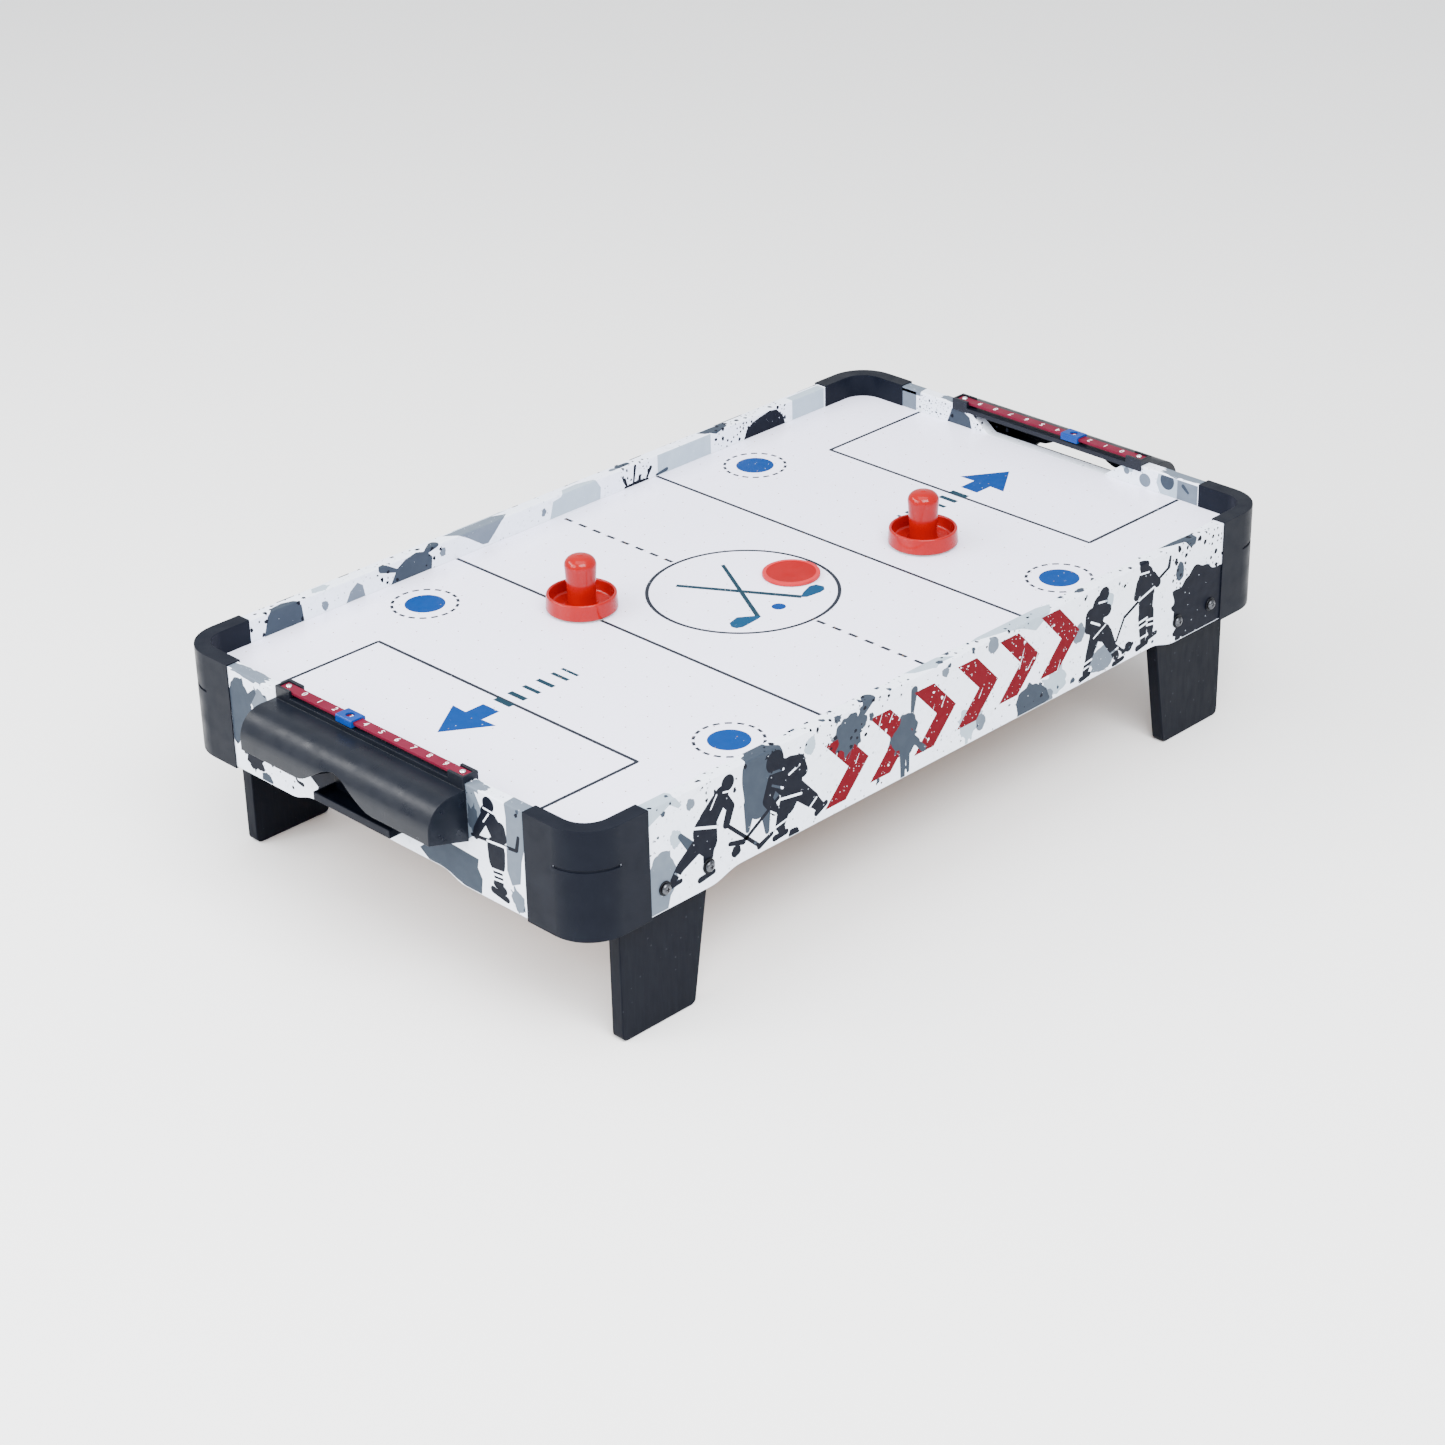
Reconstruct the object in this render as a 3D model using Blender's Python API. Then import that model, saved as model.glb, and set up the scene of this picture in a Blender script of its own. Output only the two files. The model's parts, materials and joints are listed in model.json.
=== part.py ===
"""Table-top air hockey table, 40 inch class, with its blower, mallets and puck.

Frame: +X runs along the table to the right-hand goal, -Y is the front long side, +Z is up, and
z = 0 is the surface that the legs stand on. All sizes are in metres.
"""

import math

import bmesh
import bpy
from mathutils import Matrix, Vector

# Driving dimensions -------------------------------------------------------------------------
GAP = 0.0003  # clearance between two pieces that touch
OVERCUT = 0.010  # how far a cutting tool runs past the solid that it cuts

TABLE_HALF_LENGTH = 0.508  # over the corner caps
TABLE_HALF_WIDTH = 0.3015  # over the corner caps
FIELD_Z = 0.219  # playing surface
FIELD_THICKNESS = 0.005

CAP_SKIN = 0.0012  # corner cap's top skin
CAP_PROUD = 0.0015  # how far a cap stands out from the apron faces
CAP_RADIUS = 0.045
CAP_INNER_RADIUS = 0.027
CAP_REACH_X = 0.080
CAP_REACH_Y = 0.083
CAP_TOP_Z = FIELD_Z + 0.0265
CAP_BOTTOM_Z = FIELD_Z - 0.0898
CAP_FLANGE = 0.0010  # cap's inner flange, in front of the rail face
GROOVE_Z = FIELD_Z - 0.0155
GROOVE_HEIGHT = 0.0028
GROOVE_DEPTH = 0.0014

APRON_THICKNESS = 0.015
APRON_TOP_Z = CAP_TOP_Z - CAP_SKIN - GAP
APRON_DEEP_Z = FIELD_Z - 0.0885  # lower edge beside the corners
APRON_SHALLOW_Z = FIELD_Z - 0.0800  # lower edge along the middle
LONG_STEP = (0.310, 0.350)  # from the middle, where the long aprons' lower edge drops
END_STEP = (0.096, 0.130)

GOAL_HALF_WIDTH = 0.085  # at the playing surface
GOAL_HALF_WIDTH_TOP = 0.120  # at the top of the rail

HOOD_HALF_LENGTH = 0.140
HOOD_DEPTH = 0.0485  # out from the apron face
HOOD_TOP_Z = FIELD_Z + 0.019
HOOD_LIP_Z = FIELD_Z - 0.021
HOOD_WALL_LOW_Z = FIELD_Z - 0.0355  # the end walls' lower corner at the apron
HOOD_RADIUS = 0.028
HOOD_WALL = 0.0025
DROP_MARGIN = 0.001
ARCH_HALF_WIDTH = 0.058
ARCH_HEIGHT = 0.0245

BLOCK_INNER_Y = 0.117
BLOCK_OUTER_Y = 0.139
BLOCK_TOP_Z = FIELD_Z + 0.0325
BLOCK_LIP_Z = FIELD_Z + 0.0187
BLOCK_LIP = 0.0017
BLOCK_FOOT = 0.0020  # thickness of a block's part outside the rail
BLOCK_FOOT_Z = HOOD_TOP_Z - 0.0015
CROSSBAR_Z = (FIELD_Z + 0.0195, FIELD_Z + 0.0247)  # bar between the blocks, under the score strip
FIN_OVERLAP = 0.001

STRIP_WIDTH = 0.012
STRIP_THICKNESS = 0.0032
STRIP_HALF_LENGTH = 0.1360
STRIP_SCREW_Y = 0.1285
STRIP_SCREW_HOLE = 0.0018  # radius
SCORE_STEP = 0.0232  # from one number to the next
SCORE_SHOWN = 3

SLIDER_LENGTH = 0.024
SLIDER_WIDTH = 0.018
SLIDER_SKIN = 0.0022
WINDOW_RADIUS = 0.0045

TRAY_HALF_WIDTH = 0.057
TRAY_DEPTH = 0.0285
TRAY_FLOOR_Z = FIELD_Z - 0.0505
TRAY_WALL = 0.0025
TRAY_BACK = 0.0015  # thickness of the plate behind the tray
TRAY_BACK_Z = FIELD_Z - 0.0005
TRAY_LIP = 0.006
TONGUE_HALF_WIDTH = 0.030
TONGUE_DEPTH = 0.012
TONGUE_THICKNESS = 0.003

LEG_THICKNESS = 0.015
LEG_OUTER_X = 0.455
LEG_INNER_FOOT_X = 0.3585
LEG_INNER_TOP_X = 0.326
LEG_TOP_Z = 0.2125
LEG_CORNER = 0.006
BOLT_X = (0.353, 0.410)
BOLT_Z = FIELD_Z - 0.0635
BOLT_RADIUS = 0.003
BOLT_HEAD_RADIUS = 0.0055
BOLT_HEAD_HEIGHT = 0.0032
WASHER_RADIUS = 0.0075
WASHER_THICKNESS = 0.0015
NUT_PLATE = (0.080, 0.0025, 0.018)  # length, thickness, height

PANEL_Z = 0.1440
PANEL_THICKNESS = 0.003
PANEL_HALF_WIDTH = 0.2690
CLEAT_SIZE = 0.015
CLEAT_HALF_LENGTH = 0.318
RIB_X = 0.200
RIB_WINDOWS_Y = (-0.180, -0.090, 0.0, 0.090, 0.180)
RIB_WINDOW = (0.030, 0.015)  # half sizes in Y and Z

FAN_RADIUS = 0.046
FAN_TIP_GAP = 0.0025
FAN_WALL = 0.0025
FAN_DEPTH = 0.036
FAN_HUB_RADIUS = 0.017
FAN_BLADES = 7
FLANGE_THICKNESS = 0.003
FLANGE_HALF = 0.060
INLET_COUNT = 6
INLET_SPAN = 48  # degrees of each opening in the grille
ROCKER_SLOT = (0.0075, 0.0055)  # half sizes in X and Y
JACK_HEIGHT = 0.020  # above the grille
POD_LENGTH = 0.052
SWITCH_TILT = 10  # degrees, at rest in the off position
POD_HALF_WIDTH = 0.020

MALLET_RADIUS = 0.038
MALLET_RING_HEIGHT = 0.020
MALLET_HEIGHT = 0.062
MALLET_WALL = 0.0035
KNOB_RADIUS = 0.017
FELT_THICKNESS = 0.0015
MALLET_LEFT = (-0.144, 0.093)
MALLET_RIGHT = (0.216, -0.0595)
PUCK_RADIUS = 0.031
PUCK_THICKNESS = 0.004
PUCK_PLACE = (0.0624, -0.010)

APRON_Y = TABLE_HALF_WIDTH - CAP_PROUD  # outer face of the long aprons
APRON_X = TABLE_HALF_LENGTH - CAP_PROUD  # outer face of the end aprons
RAIL_Y = APRON_Y - APRON_THICKNESS
RAIL_X = APRON_X - APRON_THICKNESS
STRIP_X = (RAIL_X + APRON_X) / 2 + 0.0005
STRIP_Z = APRON_TOP_Z + 0.0028  # underside of the score strip
ROCKER_X = FAN_RADIUS + FAN_TIP_GAP + POD_LENGTH / 2 + 0.002
ENDS = {"left": -1, "right": 1}
SIDES = {"front": -1, "rear": 1}


# Tools ---------------------------------------------------------------------------------------
def material(name, colour, roughness, metallic=0.0):
    found = bpy.data.materials.get(name)
    if found:
        return found
    made = bpy.data.materials.new(name)
    made.use_nodes = True
    surface = made.node_tree.nodes["Principled BSDF"]
    surface.inputs["Base Color"].default_value = (*colour, 1.0)
    surface.inputs["Roughness"].default_value = roughness
    surface.inputs["Metallic"].default_value = metallic
    made.diffuse_color = (*colour, 1.0)
    return made


def printed_board():
    return material("printed_board", (0.80, 0.82, 0.86), 0.35)


def black_plastic():
    return material("black_plastic", (0.016, 0.020, 0.030), 0.38)


def red_plastic():
    return material("red_plastic", (0.5, 0.02, 0.02), 0.35)


def add(name, bm, surface, place=(0, 0, 0)):
    bmesh.ops.recalc_face_normals(bm, faces=bm.faces)
    mesh = bpy.data.meshes.new(name)
    bm.to_mesh(mesh)
    bm.free()
    thing = bpy.data.objects.new(name, mesh)
    thing.location = place
    bpy.context.scene.collection.objects.link(thing)
    if surface:
        mesh.materials.append(surface)
    return thing


def smooth(thing, degrees=35):
    thing.data.shade_smooth()
    thing.data.set_sharp_from_angle(angle=math.radians(degrees))


def prism(outline, low, high, axis="Z"):
    """Closed solid of a flat outline, carried from low to high along an axis.

    The outline holds (x, y) for Z, (x, z) for Y and (y, z) for X.
    """
    spread = {"Z": lambda a, b, c: (a, b, c), "Y": lambda a, b, c: (a, c, b),
              "X": lambda a, b, c: (c, a, b)}[axis]
    bm = bmesh.new()
    ends = [[bm.verts.new(spread(a, b, level)) for a, b in outline] for level in (low, high)]
    bm.faces.new(ends[0])
    bm.faces.new(ends[1])
    count = len(outline)
    for i in range(count):
        j = (i + 1) % count
        bm.faces.new((ends[0][i], ends[0][j], ends[1][j], ends[1][i]))
    return bm


def block(x, y, z):
    return prism(((x[0], y[0]), (x[1], y[0]), (x[1], y[1]), (x[0], y[1])), *z)


def turned(profile, sides):
    """Solid of revolution about Z; the profile is (radius, z) from axis to axis."""
    bm = bmesh.new()
    rings = []
    for radius, z in profile:
        if radius == 0:
            rings.append([bm.verts.new((0, 0, z))])
            continue
        angles = [math.tau * k / sides for k in range(sides)]
        rings.append([bm.verts.new((radius * math.cos(a), radius * math.sin(a), z)) for a in angles])
    for lower, upper in zip(rings, rings[1:]):
        for k in range(sides):
            n = (k + 1) % sides
            quad = [lower[k % len(lower)], lower[n % len(lower)]]
            quad += [upper[n % len(upper)], upper[k % len(upper)]]
            bm.faces.new(list(dict.fromkeys(quad)))
    return bm


def ring(outer, inner, low, high, sides):
    """Flat ring about Z."""
    profile = ((inner, low), (outer, low), (outer, high), (inner, high), (inner, low))
    bm = bmesh.new()
    loops = []
    for radius, z in profile[:-1]:
        angles = [math.tau * k / sides for k in range(sides)]
        loops.append([bm.verts.new((radius * math.cos(a), radius * math.sin(a), z)) for a in angles])
    for i in range(4):
        near, far = loops[i], loops[(i + 1) % 4]
        for k in range(sides):
            n = (k + 1) % sides
            bm.faces.new((near[k], near[n], far[n], far[k]))
    return bm


def rod(radius, low, high, sides=16):
    return turned(((0, low), (radius, low), (radius, high), (0, high)), sides)


def laid(bm, axis, place):
    """Turn a solid that is about Z so that it is about the given axis, and place it."""
    turn = Vector((0, 0, 1)).rotation_difference(Vector(axis)).to_matrix().to_4x4()
    bm.transform(Matrix.Translation(place) @ turn)
    return bm


def combine(thing, bm, operation, label):
    tool = add(f"{thing.name}_{label}", bm, None, thing.location)
    tool.hide_render = True
    tool.display_type = "WIRE"
    step = thing.modifiers.new(label, "BOOLEAN")
    step.operation = operation
    step.solver = "EXACT"
    step.object = tool


def cut(thing, bm, label):
    combine(thing, bm, "DIFFERENCE", label)


def join(thing, bm, label):
    combine(thing, bm, "UNION", label)


def arc(centre, radius, start, end, steps):
    """Points along an arc, angles in degrees."""
    turns = [math.radians(start + (end - start) * k / steps) for k in range(steps + 1)]
    return [(centre[0] + radius * math.cos(t), centre[1] + radius * math.sin(t)) for t in turns]


def s_curve(start, end, steps):
    """Points of a smooth step between two places."""
    points = []
    for k in range(1, steps):
        share = k / steps
        rise = (1 - math.cos(math.pi * share)) / 2
        points.append((start[0] + (end[0] - start[0]) * share, start[1] + (end[1] - start[1]) * rise))
    return points


def mirrored(outline, sign):
    return [(sign * a, b) for a, b in outline]


# Playing surface and box -----------------------------------------------------------------------
def playfield():
    x = RAIL_X - GAP
    y = RAIL_Y - GAP
    solid = block((-x, x), (-y, y), (FIELD_Z - FIELD_THICKNESS, FIELD_Z))
    return add("playfield", solid, material("field_board", (0.78, 0.81, 0.86), 0.22))


def apron_outline(half, step):
    """Outline in the apron's own plane: top edge straight, lower edge deeper beside the corners."""
    deep = APRON_DEEP_Z
    shallow = APRON_SHALLOW_Z
    left = s_curve((-step[1], deep), (-step[0], shallow), 6)
    right = s_curve((step[0], shallow), (step[1], deep), 6)
    lower = [(-half, deep), (-step[1], deep), *left, (-step[0], shallow)]
    lower += [(step[0], shallow), *right, (step[1], deep), (half, deep)]
    return lower + [(half, APRON_TOP_Z), (-half, APRON_TOP_Z)]


def long_apron(side, sign):
    half = TABLE_HALF_LENGTH - CAP_RADIUS
    faces = sorted((sign * RAIL_Y, sign * APRON_Y))
    thing = add(f"apron_{side}", prism(apron_outline(half, LONG_STEP), *faces, "Y"), printed_board())
    for end, way in ENDS.items():
        for k, x in enumerate(BOLT_X):
            hole = laid(rod(BOLT_RADIUS + GAP, -APRON_THICKNESS, APRON_THICKNESS), (0, 1, 0),
                        (way * x, sign * (RAIL_Y + APRON_Y) / 2, BOLT_Z))
            cut(thing, hole, f"bolt_hole_{end}_{k}")


def end_apron(end, way):
    half = TABLE_HALF_WIDTH - CAP_RADIUS
    faces = sorted((way * RAIL_X, way * APRON_X))
    thing = add(f"apron_{end}", prism(apron_outline(half, END_STEP), *faces, "X"), printed_board())
    above = APRON_TOP_Z + OVERCUT
    slope = (GOAL_HALF_WIDTH_TOP - GOAL_HALF_WIDTH) / (APRON_TOP_Z - FIELD_Z)
    wide = GOAL_HALF_WIDTH + slope * (above - FIELD_Z)
    low = FIELD_Z - GAP
    mouth = ((-GOAL_HALF_WIDTH, low), (GOAL_HALF_WIDTH, low), (wide, above), (-wide, above))
    through = sorted((way * (RAIL_X - OVERCUT), way * (APRON_X + OVERCUT)))
    cut(thing, prism(mouth, *through, "X"), "goal_mouth")
    slot_x = sorted((way * (APRON_X - TONGUE_DEPTH - GAP), way * (APRON_X + OVERCUT)))
    slot_y = TONGUE_HALF_WIDTH + GAP
    slot_z = (TRAY_FLOOR_Z - TONGUE_THICKNESS - GAP, TRAY_FLOOR_Z + GAP)
    cut(thing, block(slot_x, (-slot_y, slot_y), slot_z), "tray_slot")
    for side, sign in SIDES.items():
        pilot = rod(STRIP_SCREW_HOLE, FIELD_Z + 0.007, APRON_TOP_Z + OVERCUT, 12)
        pilot.transform(Matrix.Translation((way * STRIP_X, sign * STRIP_SCREW_Y, 0)))
        cut(thing, pilot, f"pilot_{side}")


def corner_cap(end, way, side, sign):
    """L-shaped moulding: both aprons plug into it, and it rounds the corner inside and out."""
    x = TABLE_HALF_LENGTH
    y = TABLE_HALF_WIDTH
    inner_x = RAIL_X - CAP_FLANGE
    inner_y = RAIL_Y - CAP_FLANGE
    outer = arc((x - CAP_RADIUS, y - CAP_RADIUS), CAP_RADIUS, 0, 90, 10)
    inner = arc((inner_x - CAP_INNER_RADIUS, inner_y - CAP_INNER_RADIUS), CAP_INNER_RADIUS, 90, 0, 8)
    outline = [(x, y - CAP_REACH_Y), *outer, (x - CAP_REACH_X, y), (x - CAP_REACH_X, inner_y)]
    outline += [*inner, (inner_x, y - CAP_REACH_Y)]
    outline = [(way * a, sign * b) for a, b in outline]
    thing = add(f"corner_cap_{side}_{end}", prism(outline, CAP_BOTTOM_Z, CAP_TOP_Z), black_plastic())

    def here(ax, ay, az):
        return block(sorted(way * v for v in ax), sorted(sign * v for v in ay), az)

    pocket_z = (APRON_DEEP_Z - GAP, APRON_TOP_Z + GAP)
    tangent_x = x - CAP_RADIUS + GAP
    tangent_y = y - CAP_RADIUS + GAP
    long_x = (x - CAP_REACH_X - OVERCUT, tangent_x)
    end_y = (y - CAP_REACH_Y - OVERCUT, tangent_y)
    cut(thing, here(long_x, (RAIL_Y - GAP, APRON_Y + GAP), pocket_z), "long_pocket")
    cut(thing, here((RAIL_X - GAP, APRON_X + GAP), end_y, pocket_z), "end_pocket")
    cut(thing, here((0.35, RAIL_X + GAP), (0.15, RAIL_Y + GAP), (0.1, FIELD_Z + GAP)), "inner_side")
    middle = (way * (x - CAP_RADIUS), sign * (y - CAP_RADIUS), GROOVE_Z)
    reach = CAP_RADIUS + 0.004
    start = 0.0 if sign > 0 else -90.0
    start = start if way > 0 else 180.0 - (start + 90.0)
    band = arc((0, 0), reach, start, start + 90, 10)
    band += arc((0, 0), CAP_RADIUS - GROOVE_DEPTH, start + 90, start, 10)
    groove = prism(band, -GROOVE_HEIGHT / 2, GROOVE_HEIGHT / 2)
    groove.transform(Matrix.Translation(middle))
    cut(thing, groove, "groove")


def bottom_panel():
    x = RAIL_X - GAP
    y = PANEL_HALF_WIDTH
    top = PANEL_Z + PANEL_THICKNESS
    solid = block((-x, x), (-y, y), (PANEL_Z, top))
    thing = add("bottom_panel", solid, material("hardboard", (0.26, 0.17, 0.10), 0.75))
    cut(thing, rod(FAN_RADIUS + FAN_TIP_GAP, PANEL_Z - OVERCUT, top + OVERCUT, 32), "fan_hole")


def cleat(side, sign):
    y = sorted((sign * (RAIL_Y - GAP), sign * (RAIL_Y - GAP - CLEAT_SIZE)))
    top = FIELD_Z - FIELD_THICKNESS - GAP
    solid = block((-CLEAT_HALF_LENGTH, CLEAT_HALF_LENGTH), y, (top - CLEAT_SIZE, top))
    add(f"field_cleat_{side}", solid, material("pine", (0.62, 0.44, 0.25), 0.7))


def rib(end, way):
    """Upright board between the bottom panel and the playing surface, with air windows."""
    x = (way * RIB_X - 0.006, way * RIB_X + 0.006)
    y = RAIL_Y - 2 * GAP - CLEAT_SIZE
    z = (PANEL_Z + PANEL_THICKNESS + GAP, FIELD_Z - FIELD_THICKNESS - GAP)
    thing = add(f"rib_{end}", block(x, (-y, y), z), material("pine", (0.62, 0.44, 0.25), 0.7))
    middle = (z[0] + z[1]) / 2
    for k, place in enumerate(RIB_WINDOWS_Y):
        window = block((x[0] - OVERCUT, x[1] + OVERCUT), (place - RIB_WINDOW[0], place + RIB_WINDOW[0]),
                       (middle - RIB_WINDOW[1], middle + RIB_WINDOW[1]))
        cut(thing, window, f"air_window_{k}")


# Legs -----------------------------------------------------------------------------------------
def leg_outline():
    """Board leg in the XZ plane: straight outer edge, tapered inner edge, rounded foot corners."""
    r = LEG_CORNER
    inner = LEG_INNER_FOOT_X
    outer = LEG_OUTER_X
    foot = arc((inner + r, r), r, 180, 270, 3) + arc((outer - r, r), r, 270, 360, 3)
    return foot + [(outer, LEG_TOP_Z), (LEG_INNER_TOP_X, LEG_TOP_Z)]


def leg(end, way, side, sign):
    y = sorted((sign * (RAIL_Y - GAP), sign * (RAIL_Y - GAP - LEG_THICKNESS)))
    solid = prism(mirrored(leg_outline(), way), *y, "Y")
    thing = add(f"leg_{side}_{end}", solid, material("leg_board", (0.018, 0.018, 0.026), 0.5))
    for k, x in enumerate(BOLT_X):
        hole = laid(rod(BOLT_RADIUS + GAP, -LEG_THICKNESS, LEG_THICKNESS), (0, 1, 0),
                    (way * x, sum(y) / 2, BOLT_Z))
        cut(thing, hole, f"bolt_hole_{k}")


def leg_hardware(end, way, side, sign):
    """Two bolts with washers, and the steel nut plate behind the leg that they screw into."""
    chrome = material("chrome", (0.72, 0.73, 0.75), 0.18, 1.0)
    zinc = material("zinc_plate", (0.55, 0.56, 0.58), 0.4, 1.0)
    outward = (0, sign, 0)
    head = WASHER_THICKNESS + 2 * GAP
    length = APRON_THICKNESS + LEG_THICKNESS + NUT_PLATE[1] + 0.004
    dome = [(BOLT_HEAD_RADIUS, head), (BOLT_HEAD_RADIUS, head + 0.4 * BOLT_HEAD_HEIGHT),
            (0.8 * BOLT_HEAD_RADIUS, head + 0.8 * BOLT_HEAD_HEIGHT), (0, head + BOLT_HEAD_HEIGHT)]
    profile = [(0, -length), (BOLT_RADIUS, -length), (BOLT_RADIUS, head), *dome]
    for k, x in enumerate(BOLT_X):
        place = (way * x, sign * APRON_Y, BOLT_Z)
        shank = laid(turned(profile, 16), outward, (0, 0, 0))
        bolt = add(f"leg_bolt_{side}_{end}_{k + 1}", shank, chrome, place)
        smooth(bolt)
        disc = ring(WASHER_RADIUS, BOLT_RADIUS + GAP, GAP, GAP + WASHER_THICKNESS, 20)
        washer = add(f"leg_washer_{side}_{end}_{k + 1}", laid(disc, outward, (0, 0, 0)),
                     material("black_steel", (0.03, 0.03, 0.035), 0.45, 0.6), place)
        smooth(washer)
    back = RAIL_Y - 2 * GAP - LEG_THICKNESS
    middle = way * sum(BOLT_X) / 2
    x = (middle - NUT_PLATE[0] / 2, middle + NUT_PLATE[0] / 2)
    y = sorted((sign * back, sign * (back - NUT_PLATE[1])))
    z = (BOLT_Z + 0.0125 - NUT_PLATE[2], BOLT_Z + 0.0125)
    plate = add(f"nut_plate_{side}_{end}", block(x, y, z), zinc)
    for k, at in enumerate(BOLT_X):
        hole = laid(rod(BOLT_RADIUS + GAP, -OVERCUT, OVERCUT), (0, 1, 0), (way * at, sum(y) / 2, BOLT_Z))
        cut(plate, hole, f"thread_{k}")


# Goals ----------------------------------------------------------------------------------------
def hood_outline(shrink=0.0):
    """End view of the hood in the XZ plane for the right-hand goal, from the apron outwards."""
    wall = APRON_X + GAP
    front = APRON_X + HOOD_DEPTH - shrink
    top = HOOD_TOP_Z - shrink
    radius = HOOD_RADIUS - shrink
    curve = arc((front - radius, top - radius), radius, 90, 0, 8)
    if shrink:
        back = wall - OVERCUT
        return [(back, top), *curve, (front, HOOD_LIP_Z + shrink), (back, HOOD_WALL_LOW_Z + shrink)]
    return [(wall, top), *curve, (front, HOOD_LIP_Z), (wall, HOOD_WALL_LOW_Z)]


def arch_outline():
    """Bell-shaped puck return, cut up into the hood's face."""
    points = []
    steps = 14
    for k in range(steps + 1):
        y = ARCH_HALF_WIDTH * (2 * k / steps - 1)
        points.append((y, HOOD_LIP_Z - GAP + ARCH_HEIGHT * (1 + math.cos(math.pi * y / ARCH_HALF_WIDTH)) / 2))
    low = HOOD_LIP_Z - 0.03
    return [*points, (ARCH_HALF_WIDTH, low), (-ARCH_HALF_WIDTH, low)]


def crossbar(thing, way):
    """Joins the bar that closes the top of the goal mouth, with a fin on each side of the rail."""
    slope = (GOAL_HALF_WIDTH_TOP - GOAL_HALF_WIDTH) / (APRON_TOP_Z - FIELD_Z)
    low, high = CROSSBAR_Z
    half_low, half_high = (GOAL_HALF_WIDTH + slope * (z - FIELD_Z) - 2 * GAP for z in CROSSBAR_Z)
    inner = RAIL_X - GAP - BLOCK_LIP
    outer = APRON_X + GAP + BLOCK_FOOT
    outline = ((-half_low, low), (half_low, low), (half_high, high), (-half_high, high))
    join(thing, prism(outline, *sorted((way * inner, way * outer)), "X"), "crossbar")
    half = BLOCK_INNER_Y + FIN_OVERLAP
    inner_x = sorted((way * inner, way * (RAIL_X - GAP)))
    join(thing, block(inner_x, (-half, half), (low, high)), "inner_fin")
    outer_x = sorted((way * (APRON_X + GAP), way * outer))
    join(thing, block(outer_x, (-half, half), (BLOCK_FOOT_Z, high)), "outer_fin")


def goal_housing(end, way):
    """Half-round hood over the goal mouth, open at the puck return; its end blocks hook over the rail."""
    half = HOOD_HALF_LENGTH
    shell = prism(mirrored(hood_outline(), way), -half, half, "Y")
    thing = add(f"goal_housing_{end}", shell, black_plastic())
    inside = mirrored(hood_outline(HOOD_WALL), way)
    cut(thing, prism(inside, -half + HOOD_WALL, half - HOOD_WALL, "Y"), "inside")
    face = sorted((way * (APRON_X + HOOD_DEPTH - 0.030), way * (APRON_X + HOOD_DEPTH + OVERCUT)))
    cut(thing, prism(arch_outline(), *face, "X"), "puck_return")
    drop_x = sorted((way * (APRON_X + GAP - OVERCUT), way * (APRON_X + HOOD_DEPTH - HOOD_WALL)))
    drop_z = (HOOD_WALL_LOW_Z - OVERCUT, HOOD_LIP_Z + HOOD_WALL + DROP_MARGIN)
    cut(thing, block(drop_x, (-ARCH_HALF_WIDTH, ARCH_HALF_WIDTH), drop_z), "drop")
    inner = RAIL_X - GAP - BLOCK_LIP
    outer = APRON_X + GAP + BLOCK_FOOT
    hook = [(inner, BLOCK_LIP_Z), (RAIL_X - GAP, BLOCK_LIP_Z), (RAIL_X - GAP, APRON_TOP_Z + GAP),
            (APRON_X + GAP, APRON_TOP_Z + GAP), (APRON_X + GAP, BLOCK_FOOT_Z),
            (outer, BLOCK_FOOT_Z), (outer, BLOCK_TOP_Z), (inner, BLOCK_TOP_Z)]
    seat_x = sorted((way * (STRIP_X - STRIP_WIDTH / 2 - GAP), way * (STRIP_X + STRIP_WIDTH / 2 + GAP)))
    for side, sign in SIDES.items():
        y = sorted((sign * BLOCK_INNER_Y, sign * BLOCK_OUTER_Y))
        join(thing, prism(mirrored(hook, way), *y, "Y"), f"block_{side}")
        seat_y = sorted((sign * (BLOCK_INNER_Y - OVERCUT), sign * (STRIP_HALF_LENGTH + GAP)))
        cut(thing, block(seat_x, seat_y, (STRIP_Z - GAP, BLOCK_TOP_Z + OVERCUT)), f"strip_seat_{side}")
        hole = rod(STRIP_SCREW_HOLE, APRON_TOP_Z - OVERCUT, BLOCK_TOP_Z + OVERCUT, 12)
        hole.transform(Matrix.Translation((way * STRIP_X, sign * STRIP_SCREW_Y, 0)))
        cut(thing, hole, f"screw_hole_{side}")
    crossbar(thing, way)


def score_strip(end, way):
    x = sorted((way * (STRIP_X - STRIP_WIDTH / 2), way * (STRIP_X + STRIP_WIDTH / 2)))
    top = STRIP_Z + STRIP_THICKNESS
    solid = block(x, (-STRIP_HALF_LENGTH, STRIP_HALF_LENGTH), (STRIP_Z, top))
    thing = add(f"score_strip_{end}", solid, material("maroon_plastic", (0.22, 0.012, 0.035), 0.35))
    screw = [(0, top - 0.022), (0.0015, top - 0.021), (0.0015, top + GAP), (0.0032, top + GAP),
             (0.0030, top + 0.0012), (0.0018, top + 0.0020), (0, top + 0.0022)]
    for side, sign in SIDES.items():
        place = (way * STRIP_X, sign * STRIP_SCREW_Y, 0)
        hole = rod(STRIP_SCREW_HOLE, STRIP_Z - OVERCUT, top + OVERCUT, 12)
        hole.transform(Matrix.Translation(place))
        cut(thing, hole, f"screw_hole_{side}")
        fixing = add(f"strip_screw_{end}_{side}", turned(screw, 14),
                     material("chrome", (0.72, 0.73, 0.75), 0.18, 1.0), place)
        smooth(fixing)


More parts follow.
